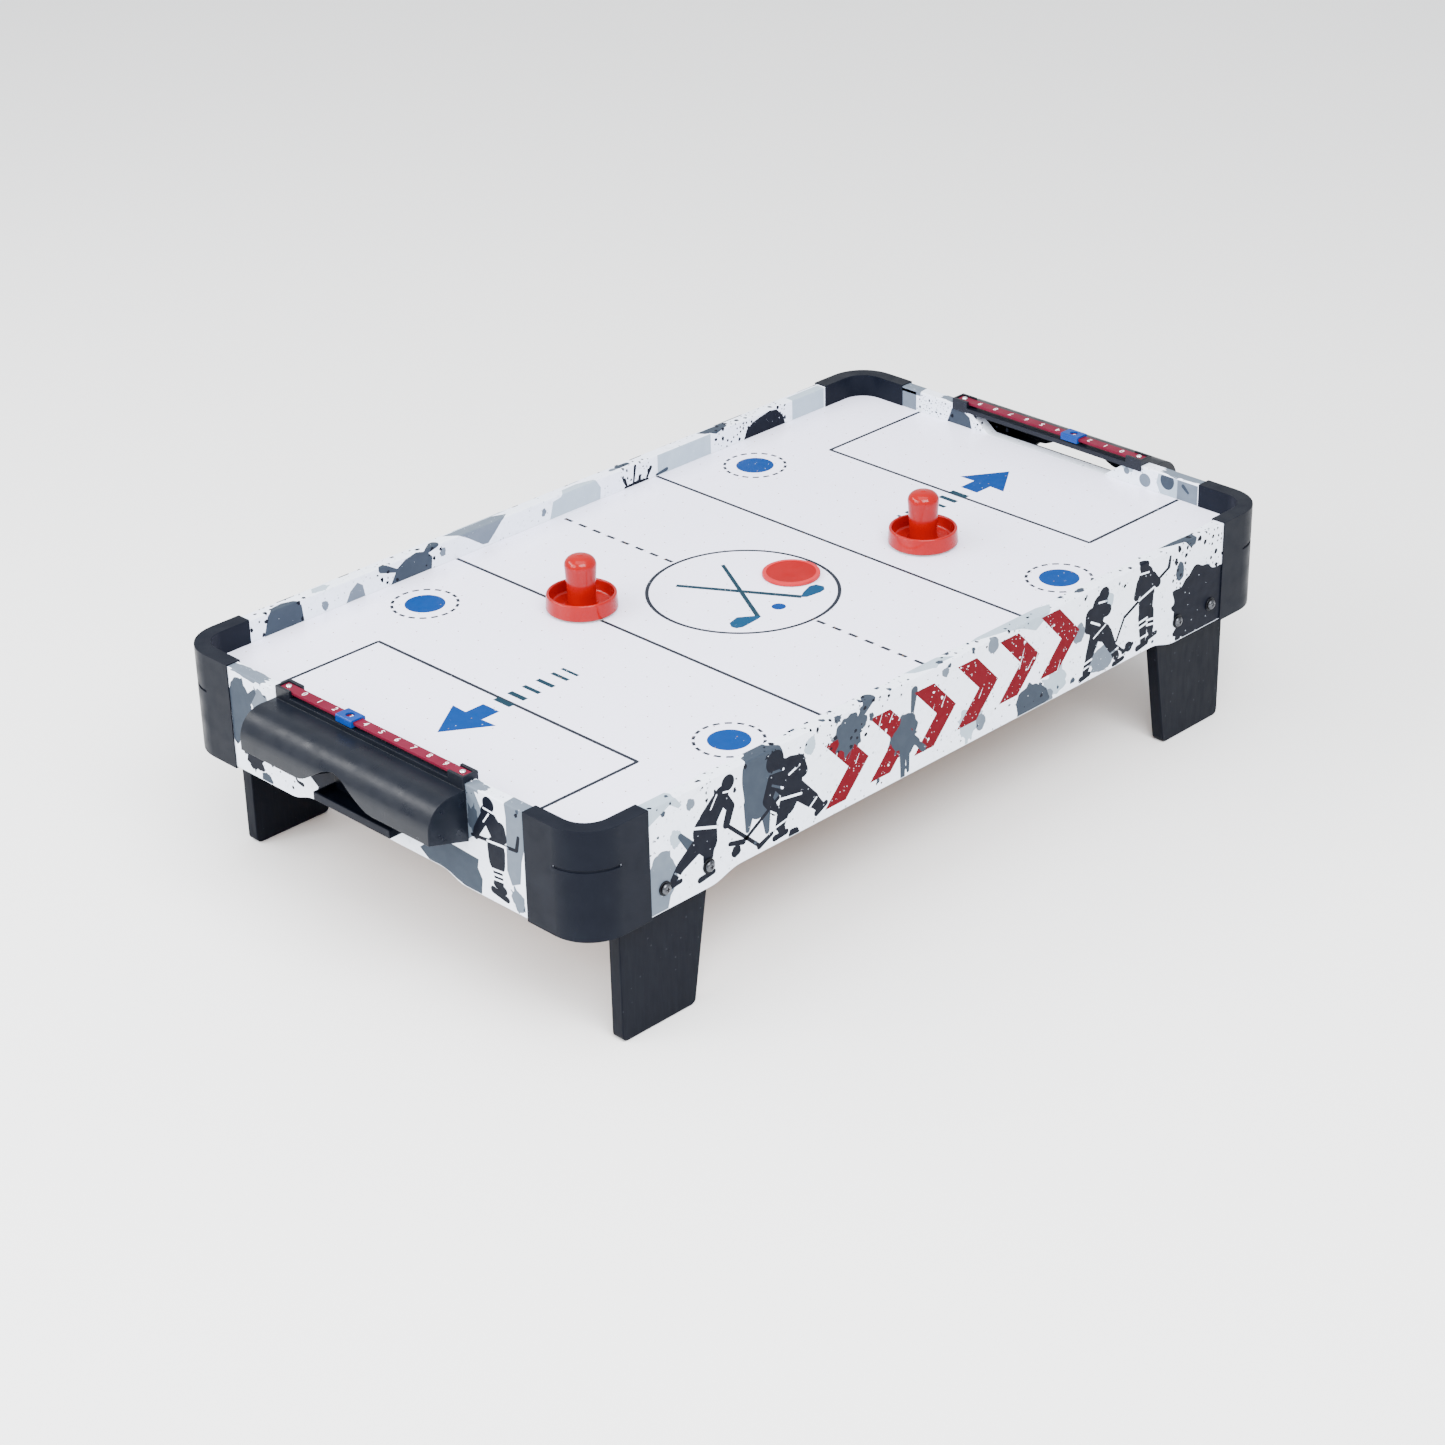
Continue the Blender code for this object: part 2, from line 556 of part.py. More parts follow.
def score_slider(end, way):
    """C-shaped marker that clips round the score strip, with a window for the number below."""
    half = SLIDER_WIDTH / 2
    slot = STRIP_WIDTH / 2 + GAP
    low = STRIP_Z - GAP
    high = STRIP_Z + STRIP_THICKNESS + GAP
    top = high + SLIDER_SKIN
    hook = slot - 0.0025
    outline = [(-half, low - 0.0018), (-hook, low - 0.0018), (-hook, low), (-slot, low), (-slot, high),
               (slot, high), (slot, low), (hook, low), (hook, low - 0.0018), (half, low - 0.0018),
               (half, top - 0.0012), (half - 0.0012, top), (-half + 0.0012, top), (-half, top - 0.0012)]
    y = -way * SCORE_STEP * (4.5 - SCORE_SHOWN)
    solid = prism(outline, -SLIDER_LENGTH / 2, SLIDER_LENGTH / 2, "Y")
    thing = add(f"score_slider_{end}", solid, material("blue_plastic", (0.004, 0.09, 0.46), 0.3),
                (way * STRIP_X, y, 0))
    cut(thing, rod(WINDOW_RADIUS, high - 0.001, top + OVERCUT, 20), "window")


def puck_tray(end, way):
    """Catch tray under the hood: floor, two cheeks, a front lip, a back plate and a tongue in the apron."""
    wall = APRON_X + GAP
    front = APRON_X + TRAY_DEPTH
    half = TRAY_HALF_WIDTH
    floor = TRAY_FLOOR_Z
    low = floor - TONGUE_THICKNESS
    body = block(sorted((way * wall, way * front)), (-half, half), (low, floor + TRAY_LIP))
    thing = add(f"puck_tray_{end}", body, black_plastic())
    hollow_x = sorted((way * (wall - OVERCUT), way * (front - TRAY_WALL)))
    hollow_y = (-half + TRAY_WALL, half - TRAY_WALL)
    cut(thing, block(hollow_x, hollow_y, (floor, floor + 0.03)), "hollow")
    tongue_x = sorted((way * (APRON_X - TONGUE_DEPTH), way * (wall + 0.004)))
    tongue = block(tongue_x, (-TONGUE_HALF_WIDTH, TONGUE_HALF_WIDTH), (low, floor))
    join(thing, tongue, "tongue")
    back_x = sorted((way * wall, way * (wall + TRAY_BACK)))
    join(thing, block(back_x, (-half, half), (low, TRAY_BACK_Z)), "back_plate")


# Blower ---------------------------------------------------------------------------------------
def blower_housing():
    """Round duct under the bottom panel, closed below by a spoked grille, with an electrics pod."""
    top = PANEL_Z - GAP
    low = top - FAN_DEPTH
    bore = FAN_RADIUS + FAN_TIP_GAP
    thing = add("blower_housing", rod(bore + FAN_WALL, low, top, 40), black_plastic())
    square = (-FLANGE_HALF, FLANGE_HALF)
    join(thing, block(square, square, (top - FLANGE_THICKNESS, top)), "flange")
    pod_x = (bore - 0.001, bore + POD_LENGTH)
    join(thing, block(pod_x, (-POD_HALF_WIDTH, POD_HALF_WIDTH), (low + 0.006, top)), "pod")
    cut(thing, rod(bore, low + FAN_WALL, top + OVERCUT, 40), "duct")
    hollow_y = POD_HALF_WIDTH - FAN_WALL
    hollow = block((bore + FAN_WALL + 0.001, pod_x[1] - FAN_WALL), (-hollow_y, hollow_y),
                   (low + 0.006 + FAN_WALL, top + OVERCUT))
    cut(thing, hollow, "pod_inside")
    for k in range(INLET_COUNT):
        start = 360 / INLET_COUNT * k + (360 / INLET_COUNT - INLET_SPAN) / 2
        sector = arc((0, 0), bore - 0.004, start, start + INLET_SPAN, 6)
        sector += arc((0, 0), FAN_HUB_RADIUS, start + INLET_SPAN, start, 4)
        cut(thing, prism(sector, low - OVERCUT, low + FAN_WALL + 0.002), f"inlet_{k}")
    slot_x = (ROCKER_X - ROCKER_SLOT[0], ROCKER_X + ROCKER_SLOT[0])
    slot_y = (-ROCKER_SLOT[1], ROCKER_SLOT[1])
    cut(thing, block(slot_x, slot_y, (low - OVERCUT, low + 0.012)), "switch_hole")
    jack = laid(rod(0.0045, -0.02, 0.02, 20), (1, 0, 0), (pod_x[1], 0, low + JACK_HEIGHT))
    cut(thing, jack, "jack_hole")


def blower_motor():
    low = PANEL_Z - GAP - FAN_DEPTH + FAN_WALL + GAP
    profile = [(0, low), (0.0130, low), (0.0140, low + 0.001), (0.0140, low + 0.015), (0.0130, low + 0.016),
               (0.0030, low + 0.016), (0.0030, low + 0.017), (0.0011, low + 0.017), (0.0011, low + 0.0235),
               (0, low + 0.0235)]
    smooth(add("blower_motor", turned(profile, 24), material("zinc_plate", (0.55, 0.56, 0.58), 0.4, 1.0)))


def blower_impeller():
    """Cup hub over the motor, with flat blades set at an angle."""
    low = PANEL_Z - GAP - FAN_DEPTH + 0.0075
    high = low + 0.017
    bore = 0.0143
    profile = [(0.0014, high - 0.0017), (bore, high - 0.0017), (bore, low), (FAN_HUB_RADIUS, low),
               (FAN_HUB_RADIUS, high), (0.0014, high), (0.0014, high - 0.0017)]
    bm = bmesh.new()
    sides = 28
    loops = []
    for radius, z in profile[:-1]:
        turns = [math.tau * k / sides for k in range(sides)]
        loops.append([bm.verts.new((radius * math.cos(t), radius * math.sin(t), z)) for t in turns])
    for i, near in enumerate(loops):
        far = loops[(i + 1) % len(loops)]
        for k in range(sides):
            n = (k + 1) % sides
            bm.faces.new((near[k], near[n], far[n], far[k]))
    thing = add("blower_impeller", bm, material("grey_plastic", (0.30, 0.31, 0.33), 0.45))
    for k in range(FAN_BLADES):
        blade = block((FAN_HUB_RADIUS - 0.001, FAN_RADIUS), (-0.0105, 0.0105), (-0.0007, 0.0007))
        blade.transform(Matrix.Rotation(math.radians(35), 4, "X"))
        blade.transform(Matrix.Translation((0, 0, (low + high) / 2)))
        blade.transform(Matrix.Rotation(math.tau * k / FAN_BLADES, 4, "Z"))
        join(thing, blade, f"blade_{k}")
    smooth(thing)


def power_switch():
    """Rocker in the underside of the electrics pod; it turns about an axis along Y."""
    low = PANEL_Z - GAP - FAN_DEPTH + 0.006
    barrel = arc((0, 0), 0.0066, -8, 188, 10)
    outline = [*barrel, (-0.0068, -0.0046), (0, -0.0032), (0.0068, -0.0046)]
    place = (ROCKER_X, 0, low + 0.0005)
    thing = add("power_switch", prism(outline, -0.0050, 0.0050, "Y"), red_plastic(), place)
    thing.rotation_euler = (0, math.radians(-SWITCH_TILT), 0)


def power_jack():
    """Round power socket: a barrel with a centre pin, in the end wall of the pod."""
    face = FAN_RADIUS + FAN_TIP_GAP + POD_LENGTH
    low = PANEL_Z - GAP - FAN_DEPTH
    profile = [(0, -0.012), (0.0042, -0.012), (0.0042, 0.0003), (0.0060, 0.0003), (0.0060, 0.0018),
               (0.0028, 0.0018), (0.0028, -0.009), (0.0010, -0.009), (0.0010, 0.0), (0, 0.0)]
    solid = laid(turned(profile, 20), (1, 0, 0), (0, 0, 0))
    smooth(add("power_jack", solid, black_plastic(), (face, 0, low + JACK_HEIGHT)))


# Mallets and puck -------------------------------------------------------------------------------
def mallet_profile():
    """Dish with a rolled ring wall and a dome-topped knob in the middle."""
    base = FIELD_Z + 2 * GAP + FELT_THICKNESS
    wall = FIELD_Z + MALLET_RING_HEIGHT
    top = FIELD_Z + MALLET_HEIGHT
    floor = base + 0.004
    outer = MALLET_RADIUS
    inner = outer - MALLET_WALL
    lower = [(0, base), (outer - 0.002, base), (outer, base + 0.002), (outer - 0.0010, wall - 0.0015)]
    lip = [(outer - 0.0018, wall), (inner, wall)]
    lip += [(inner - 0.0008, wall - 0.0012), (inner - 0.0020, floor + 0.003)]
    bowl = [(inner - 0.0050, floor), (KNOB_RADIUS - 0.0005, floor), (KNOB_RADIUS - 0.0025, floor + 0.003)]
    dome = arc((0, top - KNOB_RADIUS), KNOB_RADIUS, 0, 80, 7)
    return lower + lip + bowl + [(KNOB_RADIUS - 0.0025, floor + 0.010)] + dome + [(0, top)]


def mallet(end, place):
    smooth(add(f"mallet_{end}", turned(mallet_profile(), 36), red_plastic(), (*place, 0)))
    low = FIELD_Z + GAP
    felt = turned(((0, low), (0.036, low), (0.036, low + FELT_THICKNESS), (0, low + FELT_THICKNESS)), 36)
    add(f"mallet_felt_{end}", felt, material("felt", (0.55, 0.53, 0.50), 0.95), (*place, 0))


def puck():
    low = FIELD_Z + GAP
    high = low + PUCK_THICKNESS
    r = PUCK_RADIUS
    profile = [(0, low), (r - 0.0008, low), (r, low + 0.0008), (r, high - 0.0008), (r - 0.0008, high),
               (r - 0.0040, high), (r - 0.0046, high - 0.0006), (0, high - 0.0006)]
    smooth(add("puck", turned(profile, 40), red_plastic(), (*PUCK_PLACE, 0)))


def main():
    for thing in list(bpy.data.objects):
        bpy.data.objects.remove(thing, do_unlink=True)
    playfield()
    bottom_panel()
    for side, sign in SIDES.items():
        long_apron(side, sign)
        cleat(side, sign)
    for end, way in ENDS.items():
        end_apron(end, way)
        rib(end, way)
        goal_housing(end, way)
        puck_tray(end, way)
        score_strip(end, way)
        score_slider(end, way)
        for side, sign in SIDES.items():
            corner_cap(end, way, side, sign)
            leg(end, way, side, sign)
            leg_hardware(end, way, side, sign)
    blower_housing()
    blower_motor()
    blower_impeller()
    power_switch()
    power_jack()
    mallet("left", MALLET_LEFT)
    mallet("right", MALLET_RIGHT)
    puck()


main()
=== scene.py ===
"""Table-top air hockey table: finished surfaces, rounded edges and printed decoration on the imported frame.

+X runs to the right-hand goal, -Y is the front long side, +Z is up. Lengths are in metres, and the
layouts of the printed decoration are in millimetres.
"""

import json
import math
import random

import bmesh
import bpy
from mathutils import Matrix, Quaternion, Vector
from mathutils.geometry import tessellate_polygon


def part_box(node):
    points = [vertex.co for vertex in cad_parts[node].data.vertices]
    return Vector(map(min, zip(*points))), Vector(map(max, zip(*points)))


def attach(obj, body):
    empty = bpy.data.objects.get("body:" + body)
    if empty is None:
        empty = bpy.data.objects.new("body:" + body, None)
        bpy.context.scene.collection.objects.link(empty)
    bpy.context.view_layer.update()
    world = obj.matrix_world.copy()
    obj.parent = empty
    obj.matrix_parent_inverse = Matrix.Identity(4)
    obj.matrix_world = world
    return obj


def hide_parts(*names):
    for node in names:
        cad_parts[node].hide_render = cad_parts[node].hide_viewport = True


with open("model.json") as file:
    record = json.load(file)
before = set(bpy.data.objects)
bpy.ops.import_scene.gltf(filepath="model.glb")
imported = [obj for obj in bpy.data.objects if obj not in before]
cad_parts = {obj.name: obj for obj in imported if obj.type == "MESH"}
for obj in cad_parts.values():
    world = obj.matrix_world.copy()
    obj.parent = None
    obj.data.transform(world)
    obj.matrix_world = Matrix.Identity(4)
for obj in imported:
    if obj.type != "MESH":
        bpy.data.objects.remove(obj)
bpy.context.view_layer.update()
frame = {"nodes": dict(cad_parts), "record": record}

MM = 0.001
NODES = frame["nodes"]
BODY_OF = {node: body for body, nodes in frame["record"]["behaviour"]["bodies"].items() for node in nodes}
SIDES = {"front": -1, "rear": 1}
ENDS = {"left": -1, "right": 1}

FIELD_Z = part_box("playfield")[1].z
APRON_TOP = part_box("apron_front")[1].z
APRON_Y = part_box("apron_rear")[1].y
APRON_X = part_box("apron_right")[1].x
APRON_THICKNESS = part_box("apron_rear")[1].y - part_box("apron_rear")[0].y
RAIL_EDGE = 0.0015  # rounding of the aprons' edges

RAW_DEPTH = 0.004  # the aprons' inner faces are bare board from this far below the playing surface

FILM_SINK = 0.00005  # how far a print's underside lies inside the board
FILM_HEIGHT = 0.00005
FILM_STEP = 0.000012  # each later layer of print stands this much higher


# Surfaces
def tone(red, green, blue):
    """Linear colour of a display colour given as 0 to 255."""
    shares = [c / 255 for c in (red, green, blue)]
    return [c / 12.92 if c <= 0.04045 else ((c + 0.055) / 1.055) ** 2.4 for c in shares]


class Surface:
    """A material and the few node patterns that all of them share."""

    def __init__(self, name, colour, roughness, metallic=0.0, **fixed):
        self.material = bpy.data.materials.new(name)
        self.material.use_nodes = True
        self.nodes = self.material.node_tree.nodes
        self.links = self.material.node_tree.links
        self.shader = self.nodes["Principled BSDF"]
        self.base = (*colour, 1.0)
        self.shader.inputs["Base Color"].default_value = self.base
        self.shader.inputs["Roughness"].default_value = roughness
        self.shader.inputs["Metallic"].default_value = metallic
        for socket, value in fixed.items():
            self.shader.inputs[socket.replace("_", " ")].default_value = value
        self.place = self.nodes.new("ShaderNodeTexCoord").outputs["Object"]
        self.colour = None
        self.last_bump = None

    def feed(self, socket, value):
        if isinstance(value, bpy.types.NodeSocket):
            self.links.new(value, socket)
        else:
            socket.default_value = value

    def stretched(self, scale):
        node = self.nodes.new("ShaderNodeMapping")
        self.links.new(self.place, node.inputs["Vector"])
        node.inputs["Scale"].default_value = scale
        return node.outputs["Vector"]

    def noise(self, scale, detail=4.0, stretch=None, distortion=0.0):
        node = self.nodes.new("ShaderNodeTexNoise")
        self.links.new(self.stretched(stretch) if stretch else self.place, node.inputs["Vector"])
        node.inputs["Scale"].default_value = scale
        node.inputs["Detail"].default_value = detail
        node.inputs["Distortion"].default_value = distortion
        return node.outputs["Fac"]

    def math(self, operation, first, second=0.0):
        node = self.nodes.new("ShaderNodeMath")
        node.operation = operation
        self.feed(node.inputs[0], first)
        self.feed(node.inputs[1], second)
        return node.outputs[0]

    def span(self, value, low, high, to_low=0.0, to_high=1.0):
        node = self.nodes.new("ShaderNodeMapRange")
        self.feed(node.inputs["Value"], value)
        node.inputs["From Min"].default_value = low
        node.inputs["From Max"].default_value = high
        node.inputs["To Min"].default_value = to_low
        node.inputs["To Max"].default_value = to_high
        return node.outputs["Result"]

    def specks(self, scale, size, share):
        """Mask of scattered round specks; scale is cells per metre and size a share of a cell."""
        node = self.nodes.new("ShaderNodeTexVoronoi")
        self.links.new(self.place, node.inputs["Vector"])
        node.inputs["Scale"].default_value = scale
        parts = self.nodes.new("ShaderNodeSeparateColor")
        self.links.new(node.outputs["Color"], parts.inputs["Color"])
        reach = self.span(parts.outputs["Green"], 0.0, 1.0, size * 0.35, size)
        near = self.math("LESS_THAN", node.outputs["Distance"], reach)
        return self.math("MULTIPLY", near, self.math("LESS_THAN", parts.outputs["Red"], share))

    def blend(self, mask, colour):
        """Lays another colour over what is there, where the mask is 1."""
        node = self.nodes.new("ShaderNodeMix")
        node.data_type = "RGBA"
        self.links.new(mask, node.inputs["Factor"])
        self.feed(node.inputs["A"], self.colour or self.base)
        node.inputs["B"].default_value = (*colour, 1.0)
        self.colour = node.outputs["Result"]
        self.links.new(self.colour, self.shader.inputs["Base Color"])

    def cloud(self, mask, low, high, strength, colour):
        """Lays another colour over what is there, where the mask rises from low to high."""
        self.blend(self.span(mask, low, high, 0.0, strength), colour)

    def fleck(self, scale, size, share, strength, colour):
        """Lays scattered specks of another colour over what is there."""
        self.blend(self.math("MULTIPLY", self.specks(scale, size, share), strength), colour)

    def gloss(self, mask, low, high):
        """Roughness between two values, by a mask of about 0.3 to 0.7."""
        self.links.new(self.span(mask, 0.3, 0.7, low, high), self.shader.inputs["Roughness"])

    def bump(self, height, strength, distance):
        node = self.nodes.new("ShaderNodeBump")
        node.inputs["Strength"].default_value = strength
        node.inputs["Distance"].default_value = distance
        self.links.new(height, node.inputs["Height"])
        if self.last_bump:
            self.links.new(self.last_bump, node.inputs["Normal"])
        self.last_bump = node.outputs["Normal"]
        self.links.new(self.last_bump, self.shader.inputs["Normal"])


def moulded(name, colour, light, roughness, grain=1400, coat=0.0, shine=0.06):
    """Moulded plastic: slight tone changes, a fine grain, and rubbed patches."""
    made = Surface(
        name, colour, roughness, Coat_Weight=coat, Coat_Roughness=0.1, Specular_IOR_Level=shine,
    )
    made.cloud(made.noise(38, 5), 0.35, 0.75, 0.55, light)
    made.fleck(420, 0.3, 0.1, 0.35, light)
    made.gloss(made.noise(60, 6), roughness - 0.07, roughness + 0.1)
    made.bump(made.noise(grain, 2), 0.12, 0.0003)
    made.bump(made.noise(18, 2), 0.05, 0.004)
    return made.material


def ink(name, colour, light, flecks=0.12):
    """Printed ink on foil: uneven cover, with fine flecks where the ground shows."""
    made = Surface(name, colour, 0.48, Specular_IOR_Level=0.04)
    made.cloud(made.noise(90, 6), 0.4, 0.8, 0.6, light)
    made.fleck(520, 0.34, flecks, 0.6, (0.62, 0.68, 0.78))
    made.gloss(made.noise(120, 4), 0.34, 0.5)
    made.bump(made.noise(900, 2), 0.05, 0.0002)
    return made.material


def field_foil():
    made = Surface(
        "field_foil", (0.82, 0.82, 1.0), 0.3, Coat_Weight=0.08, Coat_Roughness=0.12,
        Specular_IOR_Level=0.25,
    )
    made.cloud(made.noise(7, 5), 0.35, 0.7, 0.6, (0.79, 0.8, 0.96))
    made.cloud(made.noise(260, 6), 0.5, 0.8, 0.35, (0.74, 0.78, 0.86))
    made.fleck(300, 0.16, 0.22, 0.5, (0.45, 0.5, 0.6))
    made.gloss(made.noise(24, 6, stretch=(1, 4, 1)), 0.18, 0.3)
    made.bump(made.noise(320, 3), 0.03, 0.0003)
    made.bump(made.noise(70, 3, stretch=(1, 9, 1)), 0.03, 0.0004)
    return made.material


def board_foil():
    made = Surface(
        "board_foil", (0.79, 0.84, 0.98), 0.36, Coat_Weight=0.05, Coat_Roughness=0.18,
        Specular_IOR_Level=0.22,
    )
    made.cloud(made.noise(12, 5), 0.35, 0.7, 0.7, (0.76, 0.83, 0.92))
    made.cloud(made.noise(150, 8, distortion=0.4), 0.56, 0.72, 0.45, (0.5, 0.57, 0.66))
    made.fleck(230, 0.3, 0.22, 0.7, (0.16, 0.2, 0.26))
    made.fleck(95, 0.15, 0.18, 0.85, (0.03, 0.036, 0.055))
    made.gloss(made.noise(40, 5), 0.24, 0.36)
    made.bump(made.noise(700, 2), 0.05, 0.0002)
    return made.material


def fibreboard():
    made = Surface("fibreboard", tone(150, 118, 84), 0.85)
    made.blend(made.noise(900, 6, stretch=(1, 1, 0.4)), tone(178, 146, 108))
    made.fleck(700, 0.4, 0.3, 0.5, tone(104, 78, 54))
    made.bump(made.noise(1200, 4), 0.35, 0.0004)
    return made.material


def hardboard():
    made = Surface("hardboard", tone(112, 80, 52), 0.7)
    made.blend(made.noise(420, 8, distortion=0.6), tone(140, 104, 70))
    made.fleck(500, 0.4, 0.25, 0.6, tone(78, 54, 36))
    made.gloss(made.noise(200, 5), 0.6, 0.8)
    made.bump(made.noise(600, 6), 0.3, 0.0004)
    return made.material


def pine():
    made = Surface("pine", tone(214, 178, 126), 0.6)
    rings = made.noise(26, 3, stretch=(1, 12, 9), distortion=1.4)
    made.blend(made.span(rings, 0.4, 0.65), tone(190, 146, 92))
    made.blend(made.math("MULTIPLY", made.noise(420, 5, stretch=(0.2, 6, 6)), 0.5), tone(170, 126, 78))
    made.gloss(made.noise(50, 5), 0.5, 0.72)
    made.bump(made.noise(500, 4, stretch=(0.2, 5, 5)), 0.25, 0.0004)
    return made.material


def leg_foil():
    made = Surface("leg_foil", (0.0028, 0.0038, 0.0072), 0.5, Specular_IOR_Level=0.05)
    grain = made.noise(70, 8, stretch=(9, 9, 0.6), distortion=0.5)
    made.blend(made.span(grain, 0.45, 0.75, 0.0, 0.6), (0.006, 0.0076, 0.012))
    made.fleck(260, 0.28, 0.1, 0.4, (0.035, 0.038, 0.048))
    made.gloss(made.noise(45, 6, stretch=(4, 4, 1)), 0.34, 0.52)
    made.bump(made.noise(240, 6, stretch=(8, 8, 0.7)), 0.18, 0.0003)
    return made.material


def felt():
    made = Surface("felt", tone(150, 148, 146), 0.95, Sheen_Weight=0.5, Sheen_Roughness=0.5)
    made.blend(made.noise(1600, 8, distortion=1.2), tone(186, 184, 180))
    made.fleck(1200, 0.4, 0.3, 0.6, tone(112, 110, 110))
    made.bump(made.noise(1500, 8, distortion=1.5), 0.9, 0.0006)
    return made.material


def metal(name, colour, light, roughness, brushed):
    made = Surface(name, colour, roughness, 1.0)
    made.cloud(made.noise(220, 5), 0.4, 0.7, 0.7, light)
    made.gloss(made.noise(500, 5, stretch=brushed), roughness * 0.6, roughness * 1.5)
    made.bump(made.noise(900, 4, stretch=brushed), 0.12, 0.0002)
    return made.material


FIELD_FOIL = field_foil()
BOARD_FOIL = board_foil()
FIBREBOARD = fibreboard()
BLACK = moulded("black_moulding", (0.0026, 0.0038, 0.0078), (0.0056, 0.0074, 0.0125), 0.38, shine=0.06)
HOOD_BLACK = moulded("hood_moulding", (0.003, 0.0044, 0.0082), (0.0056, 0.0074, 0.0125), 0.32, shine=0.16)
MAROON = moulded("maroon_moulding", (0.095, 0.004, 0.016), (0.135, 0.012, 0.032), 0.36)
BLUE = moulded("blue_moulding", (0.001, 0.026, 0.16), (0.003, 0.045, 0.24), 0.28, coat=0.15)
RED = moulded("red_moulding", (0.235, 0.001, 0.0014), (0.31, 0.003, 0.0034), 0.22, grain=500, coat=0.35)
PUCK_RED = moulded("puck_moulding", (0.215, 0.0008, 0.0025), (0.26, 0.002, 0.0045), 0.36, grain=700)
GREY = moulded("grey_moulding", (0.055, 0.06, 0.068), (0.085, 0.092, 0.1), 0.42)
SWITCH_RED = moulded("switch_moulding", (0.15, 0.003, 0.004), (0.2, 0.01, 0.01), 0.32)
CHROME = metal("chrome_plate", (0.8, 0.81, 0.83), (0.9, 0.91, 0.93), 0.16, (1, 1, 1))
ZINC = metal("zinc_plating", (0.56, 0.57, 0.6), (0.7, 0.7, 0.68), 0.36, (0.4, 6, 6))
DARK_CHROME = metal("dark_chrome", (0.055, 0.058, 0.066), (0.14, 0.145, 0.16), 0.3, (1, 1, 1))
BLACK_STEEL = metal("black_oxide", (0.012, 0.013, 0.016), (0.022, 0.024, 0.028), 0.48, (1, 1, 1))
INK_BLACK = ink("ink_black", (0.004, 0.005, 0.0095), (0.007, 0.009, 0.015), 0.03)
INK_SLATE = ink("ink_slate", (0.028, 0.037, 0.052), (0.036, 0.047, 0.064), 0.01)
INK_GREY = ink("ink_grey", (0.1, 0.124, 0.158), (0.13, 0.155, 0.19), 0.06)
INK_PALE = ink("ink_pale", (0.29, 0.36, 0.43), (0.35, 0.42, 0.49), 0.06)
INK_RED = ink("ink_red", (0.095, 0.0008, 0.005), (0.112, 0.002, 0.0085), 0.16)
INK_LINE = ink("ink_line", (0.013, 0.016, 0.023), (0.018, 0.022, 0.029), 0.01)
INK_TEAL = ink("ink_teal", (0.0055, 0.022, 0.036), (0.008, 0.029, 0.046), 0.03)
INK_OCEAN = ink("ink_ocean", (0.0035, 0.036, 0.086), (0.0055, 0.045, 0.105), 0.02)
INK_BLUE = ink("ink_blue", (0.0004, 0.028, 0.14), (0.0008, 0.034, 0.165), 0.02)
INK_WHITE = ink("ink_white", (0.8, 0.7, 0.74), (0.88, 0.8, 0.83), 0.02)


# Shapes
def piece(name, bm, surfaces, body, replaced=(), smooth=None):
    bmesh.ops.recalc_face_normals(bm, faces=bm.faces)
    mesh = bpy.data.meshes.new(name)
    bm.to_mesh(mesh)
    bm.free()
    for surface in surfaces:
        mesh.materials.append(surface)
    thing = bpy.data.objects.new(name, mesh)
    bpy.context.scene.collection.objects.link(thing)
    if smooth:
        mesh.shade_smooth()
        mesh.set_sharp_from_angle(angle=math.radians(smooth))
        step = thing.modifiers.new("flat_faces", "WEIGHTED_NORMAL")
        step.keep_sharp = True
    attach(thing, body)
    if replaced:
        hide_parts(*replaced)
    return thing


def node_mesh(node):
    """The node's solid as plain polygons, with its flat faces joined up."""
    source = NODES[node].data
    bm = bmesh.new()
    verts = [bm.verts.new(v.co) for v in source.vertices]
    for polygon in source.polygons:
        bm.faces.new([verts[i] for i in polygon.vertices])
    bmesh.ops.remove_doubles(bm, verts=bm.verts, dist=1e-5)
    bmesh.ops.dissolve_limit(bm, angle_limit=math.radians(0.8), verts=bm.verts[:], edges=bm.edges[:])
    return bm


SHARP = math.radians(32)


def rounded(bm, width, segments=3, longer_than=0.0):
    """Rounds the sharp edges, except those that rest on the playing surface."""
    rest = FIELD_Z + 0.0003
    sharp = [e for e in bm.edges if e.calc_face_angle(0) > SHARP and e.calc_length() > longer_than]
    edges = [e for e in sharp if any(abs(v.co.z - rest) > 1e-5 for v in e.verts)]
    bmesh.ops.bevel(
        bm, geom=edges, offset=width, segments=segments, profile=0.5, affect="EDGES", clamp_overlap=False,
    )
    return bm


def refined(node, width, surface, segments=3, longer_than=0.0, raw=None):
    """Stands for a node with its solid, sharp edges rounded; raw is for the board's bare inner face."""
    bm = rounded(node_mesh(node), width, segments, longer_than)
    surfaces = [surface]
    if raw:
        surfaces.append(raw)
        geometry = bm.verts[:] + bm.edges[:] + bm.faces[:]
        level = FIELD_Z - RAW_DEPTH
        bmesh.ops.bisect_plane(bm, geom=geometry, plane_co=(0, 0, level), plane_no=(0, 0, 1))
        for face in bm.faces:
            middle = face.calc_center_median()
            face.material_index = int(
                middle.z < level and face.normal.dot(Vector((middle.x, middle.y, 0))) < 0
            )
    return piece(f"{node}_finished", bm, surfaces, BODY_OF[node], (node,), 50)


